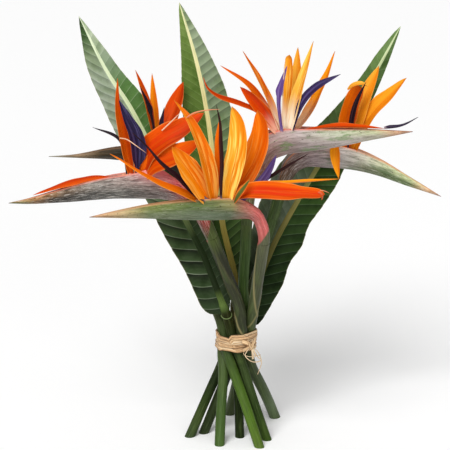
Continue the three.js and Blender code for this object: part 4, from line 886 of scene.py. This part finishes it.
def spathe(name, seed):
    flower = FLOWERS[name]
    centres, radii = LINES[name]
    rise = (centres[-1] - centres[-2]) / (centres[-1, 2] - centres[-2, 2])
    knots = np.vstack([centres[-1] - 12 * rise, centres[-1] - 6 * rise, centres[-1], flower["axis"]])
    course = Course(knots, SPATHE_ROWS, 2 / (len(knots) - 1)).turn_to((0, -flower["beak"], 0))
    u, run, full = course.u, course.run, flower["fullest"]
    angle = within_half_turn(course.turned(SPATHE_SIDES))
    angle = angle - 0.09 * np.sin(3 * angle) * np.sign(np.cos(0.5 * angle))
    from_rim = np.abs(angle) - RIM
    taper = 1.02 - (np.maximum(u - 0.4, 0) / 0.6) ** 1.35
    if "taper" in flower:
        taper = ramp(flower["taper"], u, 0.03)
    taper = np.maximum(taper, 0.012)
    opened = smooth(full - 0.16, full, u) * (1 - smooth(0.6, 0.85, u))
    radius = mix(radii[-1] - INSET, flower["neck"], smooth(0, 0.06, u))
    sizes = (mix(radius, flower[key], smooth(0.08, full, u)) * taper for key in ("half", "up", "down"))
    groove = 0.42 * (flower["up"] + flower["down"]) * opened
    x, y, inside, below = spathe_section(angle, radius, 1 - smooth(0.05, 0.3, u), *sizes, groove)
    rim = bell(from_rim, math.radians(5)) * smooth(0.1, 0.3, u)
    lip = rim * (0.5 + 0.5 * opened) * np.minimum(taper * 1.6, 1)
    arch = bell(u - full + 0.07, 0.06) * bell(from_rim, math.radians(26)) * (angle < 0)
    y = y + 0.9 * lip + flower["arch"] * arch
    fibres = 0.16 * ring_swell(seed, angle, 9, run / 30) + 0.07 * ring_swell(seed + 1, angle, 26, run / 45)
    dents = 0.5 * ring_swell(seed + 2, angle, 1.2, run / 28)
    wrinkles = np.cos(run * 1.1 + swell(seed + 3, 2 * angle))
    creases = bell(u - 0.15, 0.07) * wrinkles * smooth(0.2, 1, np.cos(angle))
    out = (fibres + dents - 0.1 * creases) * smooth(0, 0.08, u) * np.minimum(taper * 1.3, 1)
    scale = 1 + out / np.maximum(np.hypot(x, y), 1e-6)
    rings = course.put(x * scale, y * scale)
    piece = Piece("along", "height", "rim", "inside", "arch", "stem")
    piece.loft(rings, course.straight(x, y), along=u, height=np.where(below > 0, 1 - 2 * below, 1.0),
               rim=np.clip(rim, 0, 1) * smooth(0.12, 0.3, u),
               inside=smooth(0.08, 0.4, inside) * np.clip(opened * 1.6, 0, 1),
               arch=arch * smooth(1, 4, flower["arch"]),
               stem=(1 - blush_of(flower, rings)) * smooth(0.2, 0.1, u))
    skin = spathe_finish(f"{name}_sheath_skin", flower)
    piece.make(f"{name}_sheath", skin, "spathe", f"{name}_spathe", sharp=75)


# Petals

PETAL_ROWS, SEPAL_COLUMNS, TONGUE_COLUMNS = 68, 16, 12
SEPAL_THICKNESS, TONGUE_THICKNESS = 0.95, 0.9
SEPAL_PLEATS, TONGUE_PLEATS = 0.16, 0.1
BASE_ROWS, BASE_SIDES, BASE_RADIUS = 60, 20, 4.6
THREAD_ROWS, THREAD_SIDES = 40, 8


def blade(piece, form, columns, thickness, seed, veins):
    """A cupped blade with fine lengthwise pleats as deep as veins, its thin edges waved."""
    course = Course(form["line"], PETAL_ROWS).face_to(form["face"])
    u, half = course.u, form["width"] / 2
    v = np.linspace(-1, 1, columns + 1)[None, :]
    w = np.abs(v)
    share = ramp(PROFILES[form["outline"]], u, 0.035) * np.sqrt(np.clip((1 - u) / 0.035, 0.0005, 1))
    reach = np.maximum(half * share, 0.12)
    wave = 0.06 * half * np.sin(TURN * (2.6 * u + 0.37 * seed) + v) * w ** 3 * smooth(0.1, 0.5, u)
    pleat = veins * swell(seed, 9 * v, 0.9 * u) * (1 - w ** 4) * smooth(0, 0.15, u)
    crease = -0.35 * bell(v, 0.09)
    x = v * reach
    y = form["cup"] * reach * w ** 1.5 + (wave + pleat + crease) * share
    thick = thickness * mix(1.25, 0.3, w ** 2) * mix(1, 0.45, u ** 3) / 2
    slope = 1.5 * form["cup"] * np.sign(v) * w ** 0.5
    up = thick / np.sqrt(1 + slope ** 2)
    piece.skin(course, there_and_back(x - slope * up, x + slope * up), there_and_back(y + up, y - up),
               along=u, across=there_and_back(v, v), **form["marks"])


def fleshy_row(piece, claws, seed, pale):
    """The row of fleshy floret bases in the groove."""
    start, end = np.array(claws, float)
    course = Course([start, (start + end) / 2, end], BASE_ROWS).turn_to((0, -1, 0))
    u = course.u
    bumps = 1 + 0.16 * np.sin(TURN * 5 * u + seed) * smooth(0, 0.1, u) * smooth(1, 0.9, u)
    radius = BASE_RADIUS * np.sqrt(np.maximum(1 - (2 * u - 1) ** 2 * 0.985, 0.004)) * bumps
    x, y = round_section(radius, course.turned(BASE_SIDES))
    piece.skin(course, x, 1.15 * y, along=0.1, tone=0.6, pale=pale, fleshy=1.0)


def thread(piece, line, radius, bleached, tone):
    """A torn fibre or stamen tip standing off a petal."""
    course = Course(line, THREAD_ROWS).turn_to((0.1, -1, 0.2))
    tapered = radius * np.sqrt(np.clip((1 - course.u) / 0.6, 0.02, 1))
    x, y = round_section(tapered, course.turned(THREAD_SIDES))
    piece.skin(course, x, y, along=0.5, thread=bleached, tone=tone)


def sepals(name, material, seed):
    piece = Piece("along", "across", "tone", "cream", "heart", "pale", "green", "thread", "fleshy")
    for k, form in enumerate(SEPALS[name]):
        blade(piece, form, SEPAL_COLUMNS, SEPAL_THICKNESS, seed + k, SEPAL_PLEATS)
    palest = max(form["marks"].get("pale", 0) for form in SEPALS[name])
    fleshy_row(piece, FLOWERS[name]["claws"], seed, palest)
    for fibre in THREADS.get(name, []):
        thread(piece, *fibre)
    piece.make(f"{name}_petals", material, "sepal", f"{name}_sepals", sharp=80)


def tongues(name, material, seed):
    for k, form in enumerate(TONGUES[name]):
        piece = Piece("along", "across", "dark")
        blade(piece, form, TONGUE_COLUMNS, TONGUE_THICKNESS, seed + k, TONGUE_PLEATS)
        piece.make(f"{name}_blue_{k + 1}", material, "tongue", f"{name}_tongue_{k + 1}", sharp=80)


# Leaves

LEAF_ROWS, LEAF_COLUMNS = 250, 28
ROD_ROWS, ROD_SIDES = 420, 24
RIM_ROWS, RIM_SIDES, RIM_RADIUS = 60, 8, 0.4
# How far a petiole lies under its solid, and a midrib's depth at the base and at the tip
PETIOLE_INSET = 0.3
RIB_DEPTHS = (4.2, 0.3)
# Half width of a midrib in mm along the blade
RIB_HALF_WIDTHS = [(0, 3.9), (0.3, 3.6), (0.6, 3.0), (0.8, 2.6), (0.93, 1.5), (1, 0.3)]
# Where in a pleat its slow rise ends and its quick fall begins
PLEAT_TOP = 0.86


def half_blade(piece, course, half, sign, waves, seed):
    """One half of a blade, pleated between its side veins, its margin rippled and scalloped."""
    u, run = course.u, course.run
    v = np.linspace(0.05, 1, LEAF_COLUMNS + 1)[None, :]
    share = ramp(half["outline"], u, 0.02) * np.sqrt(np.clip((1 - u) / 0.02, 0.0005, 1))
    reach = np.maximum(half["half"] * share, 0.3)
    bend = 0.25 * swell(seed + sign, run / 30, 1.6 * v)
    phase = (run - mix(*half["skew"], u) * v * reach) / half["pleat"] + bend + 0.5 * sign
    step = phase % 1
    saw = np.where(step < PLEAT_TOP, step / PLEAT_TOP, (1 - step) / (1 - PLEAT_TOP)) - 0.5
    depth = ramp(half["depth"], u, 0.03)
    away = smooth(0.05, 0.3, v) * np.minimum(share * 1.4, 1)
    relief = (depth * saw + 0.05 * np.sin(TURN * phase * 5)) * away
    ripple = 2.2 * np.sin(TURN * waves * u) * smooth(0, 0.2, u) * share * v ** 2 * -sign
    scallop = 1 + (0.016 * saw + 0.012 * swell(seed + 3, run / 12)) * smooth(0.7, 1, v)
    spread = smooth(0, 0.02, u)
    x = sign * mix(np.minimum(v * 5.0, 5.0), v * reach * scallop, spread)
    y = (v * reach * half["fold"] + ripple + relief) * spread
    thick = mix(0.75, 0.3, v) / 2 * mix(1, 0.6, u)
    v = there_and_back(v, v, sign)
    piece.skin(course, there_and_back(x, x, sign), there_and_back(y + thick, y - thick, sign),
               along=u, across=sign * v, pleat=there_and_back(phase, phase, sign),
               depth=depth * smooth(0.05, 0.2, v), climb=1.0)


def sheath_rim(piece, rod, height, reach):
    """The thickened edge of a wrapped sheath, a slanting ring round the petiole."""
    middle = [np.interp(height, rod.place[:, 2], rod.place[:, i]) for i in range(3)]
    bearing = np.linspace(0, TURN, 25)
    path = np.stack([reach * np.cos(bearing), reach * np.sin(bearing), 3.0 * np.sin(bearing)], -1) + middle
    course = Course(path, RIM_ROWS).turn_to((0, 0, 1))
    x, y = round_section(RIM_RADIUS, course.turned(RIM_SIDES))
    piece.skin(course, x, y, along=0.35, rib=1.0, climb=0.6)


def leaf(name, seed):
    form = LEAVES[name]
    centres, radii = LINES[name]
    knots = np.vstack([centres[-3:], form["blade"]])
    course = Course(knots, LEAF_ROWS, 2 / (len(knots) - 1)).face_to(form["face"])
    piece = Piece("along", "across", "pleat", "depth", "rib", "climb", "cut")
    half_blade(piece, course, form["left"], -1, form["waves"], seed)
    half_blade(piece, course, form["right"], 1, form["waves"], seed)
    # Petiole and midrib are one tapering rod, flatter on the face of the blade
    rod = Course(np.vstack([centres, form["blade"]]), ROD_ROWS).face_to(form["face"])
    angle = rod.turned(ROD_SIDES)
    blade_start = np.interp(centres[-1, 2], rod.place[:, 2], rod.run[:, 0])
    on_blade = np.clip((rod.run - blade_start) / (rod.run[-1] - blade_start), 0, 1)
    is_blade = smooth(0, 0.05, on_blade)
    radius = np.interp(rod.place[:, 2:], centres[:, 2], radii) - PETIOLE_INSET
    rib_depth = mix(*RIB_DEPTHS, on_blade ** 0.8)
    wide = mix(radius, ramp(RIB_HALF_WIDTHS, on_blade, 0.02), is_blade)
    front = mix(radius, 0.35 * rib_depth + 0.5, is_blade)
    back = mix(radius, rib_depth + 0.5, is_blade)
    ribs = 0.06 * np.cos(13 * angle) + 0.1 * ring_swell(seed + 5, angle, 2, rod.run / 25)
    ribs = ribs * mix(1, 0.3, is_blade)
    x = (wide + ribs) * np.sin(angle)
    y = (np.where(np.cos(angle) > 0, front, back) + ribs) * np.cos(angle)
    if form["rim"]:
        sheath_rim(piece, rod, form["rim"], radius.max() + 0.4)
    cut_loft(piece, level_foot(rod.put(x, y), rod), rod.straight(x, y), along=on_blade, rib=1.0,
             climb=np.clip(rod.run / NECK, 0, 1))
    piece.make(f"{name}_blade", leaf_finish(f"{name}_skin", form), "leaf", name, sharp=75)


# Raffia

TIE_HEIGHT = 111.5
TIE_DEPTH = 21.0
STRANDS = 54
# Stations along each strand of the windings and along each one of the knot
STRAND_ROWS, KNOT_ROWS = 104, 70
STRAND_THICKNESS, KNOT_THICKNESS = 0.4, 0.5
# Bearings from the tie's axis of the place where the strands are drawn together, and of the knot
PINCH = math.radians(-118)
KNOT = math.radians(-60)


def hull(bearing, z, offset):
    """Points round the bunch of stalks, offset out from it."""
    way = np.stack([np.cos(bearing), np.sin(bearing)], -1)
    best = np.full(bearing.shape, -1e9)
    found = np.zeros(bearing.shape + (3,))
    for centres, radii in LINES.values():
        ahead = unit(np.gradient(centres, axis=0))
        centre = np.stack([np.interp(z, centres[:, 2], centres[:, i]) for i in (0, 1)], -1)
        reach = np.interp(z, centres[:, 2], radii / np.maximum(ahead[:, 2], 0.5))
        support = np.sum(centre * way, -1) + reach
        point = np.concatenate([centre + way * (reach + offset)[..., None], z[..., None]], -1)
        found = np.where((support > best)[..., None], point, found)
        best = np.maximum(best, support)
    return found


def ribbon(piece, path, outward, width, thickness, seed, tint, rows, folds):
    """A flat, crinkled ribbon along a path, its face to the outward directions."""
    course = Course(path, rows)
    at = np.linspace(0, 1, len(outward))
    course.face_to(unit(np.stack([np.interp(course.u[:, 0], at, outward[:, i]) for i in range(3)], -1)))
    v = np.linspace(-1, 1, 7)[None, :]
    x = v * width / 2 * (1 + 0.25 * swell(seed, course.run / 9))
    crinkle = folds * swell(seed + 1, 2.6 * v, course.run / 14)
    crinkle = crinkle + 0.12 * swell(seed + 2, 7 * v, course.run / 30)
    thick = thickness * mix(1, 0.5, np.abs(v)) / 2
    piece.skin(course, there_and_back(x, x), there_and_back(crinkle + thick, crinkle - thick), tint=tint,
               across=there_and_back(v, v))


def binding(material):
    piece = Piece("tint", "across")
    draw = np.random.default_rng(14)
    turns = np.linspace(0, TURN, 260)
    room = TIE_DEPTH / 2 - 1.2
    for k in range(STRANDS):
        level = ((k * 0.618) % 1 - 0.5) * (TIE_DEPTH - 3)
        bearing = KNOT + draw.uniform(-0.4, 0.4) + turns
        pinched = bell(within_half_turn(bearing - PINCH), 0.36)
        steep = 2.0 if k % 5 == 0 else 1.0
        slant = steep * draw.uniform(-4.2, 4.2) * np.sin(bearing - draw.uniform(0, TURN))
        z = TIE_HEIGHT + level * (1 - 0.3 * pinched) - 1.5 * pinched + slant * (1 - 0.7 * pinched)
        z = np.clip(z, TIE_HEIGHT - room, TIE_HEIGHT + room)
        dip = 0.8 * pinched * bell((bearing - PINCH) % TURN, 0.1)
        layer = 0.7 + 0.42 * (k % 5) + 0.5 * swell(40 + k, np.cos(3 * bearing), np.sin(3 * bearing))
        path = hull(bearing, z, np.maximum(layer + 1.1 * pinched * abs(level) / 10 - dip, 0.6))
        outward = np.stack([np.cos(bearing), np.sin(bearing), 0 * bearing], -1)
        width, tint = draw.uniform(0.9, 2.9), draw.uniform(0, 1)
        ribbon(piece, path[::3], outward[::3], width, STRAND_THICKNESS, 60 + 3 * k, tint, STRAND_ROWS, 0.5)
    piece.make("raffia_windings", material, "raffia", "raffia_binding", sharp=70)


# The knot: turns and loose ends as widths, and points right of, behind and above its middle
KNOT_TURNS = [
    (4.5, [(-9, 0.4, 5), (-4, -2.2, 3), (0, -3.4, 0), (4, -2.4, -3), (9, 0.4, -5)]),
    (4, [(-8, 0.6, -6), (-3, -2.8, -2.5), (0, -4.2, 0), (4, -3, 2.5), (8, 0.6, 6)]),
    (2.6, [(-2.2, -1.6, 4.6), (-2.6, -4.6, 1.5), (-1.6, -5, -1.8), (1.6, -3.8, -4.4), (3.4, -1.4, -3.4)]),
    (2.4, [(2.6, -1.6, 4.4), (2.2, -4.6, 1), (0.4, -5.2, -2.2), (-1.8, -3.4, -4.6)]),
]
KNOT_ENDS = [
    (2.9, [(1, -3, -2), (1.2, -4.6, -6), (1.5, -5, -10), (1.9, -4.8, -16)]),
    (2, [(2, -3, -2), (3.4, -4.8, -6.5), (4.4, -5.2, -10), (5.2, -5.2, -14)]),
    (1.5, [(-1, -3, -2), (-6, -4, -6.5), (-8, -4.4, -10), (-2, -6.2, -17), (5, -6.8, -19.4),
           (11, -7, -19)]),
    (0.9, [(3, -3, -2), (7, -4, -7), (10.4, -4.4, -12), (12, -6.6, -21), (9.6, -7, -28),
           (6.4, -7.4, -34)]),
    (0.7, [(-7, -1, -5), (-9, -3.4, -9), (-3, -5.6, -12), (4, -6.2, -12.5), (11, -6.6, -12)]),
    (1, [(2, -3.4, -3), (5.4, -5.4, -10), (8, -6.2, -15), (12, -6.8, -18)]),
]


def knot(material):
    way = np.array([math.cos(KNOT), math.sin(KNOT), 0])
    across = np.array([-way[1], way[0], 0])
    seat = hull(np.array([KNOT]), np.array([TIE_HEIGHT - 2]), np.array([3.6]))[0]
    piece = Piece("tint", "across")
    for k, (width, line) in enumerate(KNOT_TURNS + KNOT_ENDS):
        path = np.array([seat + across * x - way * y + np.array([0, 0, z]) for x, y, z in line])
        tint, folds = (0.5, 0.45) if k < len(KNOT_TURNS) else (0.9, 0.25)
        outward = np.tile(way, (len(path), 1))
        ribbon(piece, path, outward, width, KNOT_THICKNESS, 200 + 5 * k, tint, KNOT_ROWS, folds * width / 4)
    piece.make("raffia_tie_knot", material, "raffia", "raffia_knot", sharp=70)


# Putting the bouquet together. The number in a call is the seed of that piece
sepal_skin, tongue_skin, raffia_skin = sepal_finish(), tongue_finish(), raffia_finish()
for order, name in enumerate(FLOWERS):
    flower_stalk(name, 100 + 10 * order)
    spathe(name, 200 + 10 * order)
    sepals(name, sepal_skin, 300 + 20 * order)
    tongues(name, tongue_skin, 500 + 10 * order)
for order, name in enumerate(LEAVES):
    leaf(name, 600 + 10 * order)
binding(raffia_skin)
knot(raffia_skin)


# Floor, light and camera

FLOOR_REACH = 60.0
SUN_POWER, SUN_SPREAD = 2.5, math.radians(36)
FRONT_POWER, FRONT_SIZE = 11, 1.6
SKY_STRENGTH = 0.42
# What the lamps look at, in metres
LIT_POINT = Vector((0, 0, 0.25))
CAMERA_TARGET = np.array([-8.0, 0.0, 241.6])
CAMERA_DISTANCE = 1800.0
CAMERA_ELEVATION = math.radians(15)
# The camera's view is this many pixels wide, and its focal length is measured in the same pixels
FRAME_PIXELS = 450
FOCAL_PIXELS = 1636
SENSOR = 36.0


def stand(name, data, place=(0, 0, 0), look=None):
    """Puts an object into the scene, turned to look a way if one is given."""
    thing = bpy.data.objects.new(name, data)
    thing.location = place
    if look:
        thing.rotation_euler = look.to_track_quat("-Z", "Y").to_euler()
    bpy.context.scene.collection.objects.link(thing)
    return thing


def lamp(name, kind, place, power, **settings):
    """A lamp at a place in metres that looks at the middle of the bouquet."""
    light = bpy.data.lights.new(name, kind)
    light.energy = power
    for key, value in settings.items():
        setattr(light, key, value)
    stand(name, light, place, LIT_POINT - Vector(place))


mesh = bpy.data.meshes.new("floor")
corners = [(x * FLOOR_REACH, y * FLOOR_REACH, 0) for x, y in ((-1, -1), (1, -1), (1, 1), (-1, 1))]
mesh.from_pydata(corners, [], [(0, 1, 2, 3)])
floor_finish = Finish("floor_white")
floor_finish.base = "FFFFFF"
mesh.materials.append(floor_finish.finish(0.9))
floor = stand("floor", mesh)

lamp("sun", "SUN", (-0.8, -1.7, 2.2), SUN_POWER, angle=SUN_SPREAD)
lamp("front", "AREA", (0.9, -2.4, 0.9), FRONT_POWER, shape="DISK", size=FRONT_SIZE)
world = bpy.data.worlds.new("studio")
world.use_nodes = True
sky = world.node_tree.nodes["Background"].inputs
sky["Color"].default_value = (1, 1, 1, 1)
sky["Strength"].default_value = SKY_STRENGTH
bpy.context.scene.world = world
bpy.context.scene.view_settings.view_transform = "Standard"

camera = bpy.data.cameras.new("camera")
camera.sensor_width = SENSOR
camera.lens = SENSOR * FOCAL_PIXELS / FRAME_PIXELS
camera.clip_end = 50.0
back = np.array([0, -math.cos(CAMERA_ELEVATION), math.sin(CAMERA_ELEVATION)])
camera_place = (CAMERA_TARGET + CAMERA_DISTANCE * back + SHIFT) * MM
bpy.context.scene.camera = stand("camera", camera, camera_place, Vector(-back))
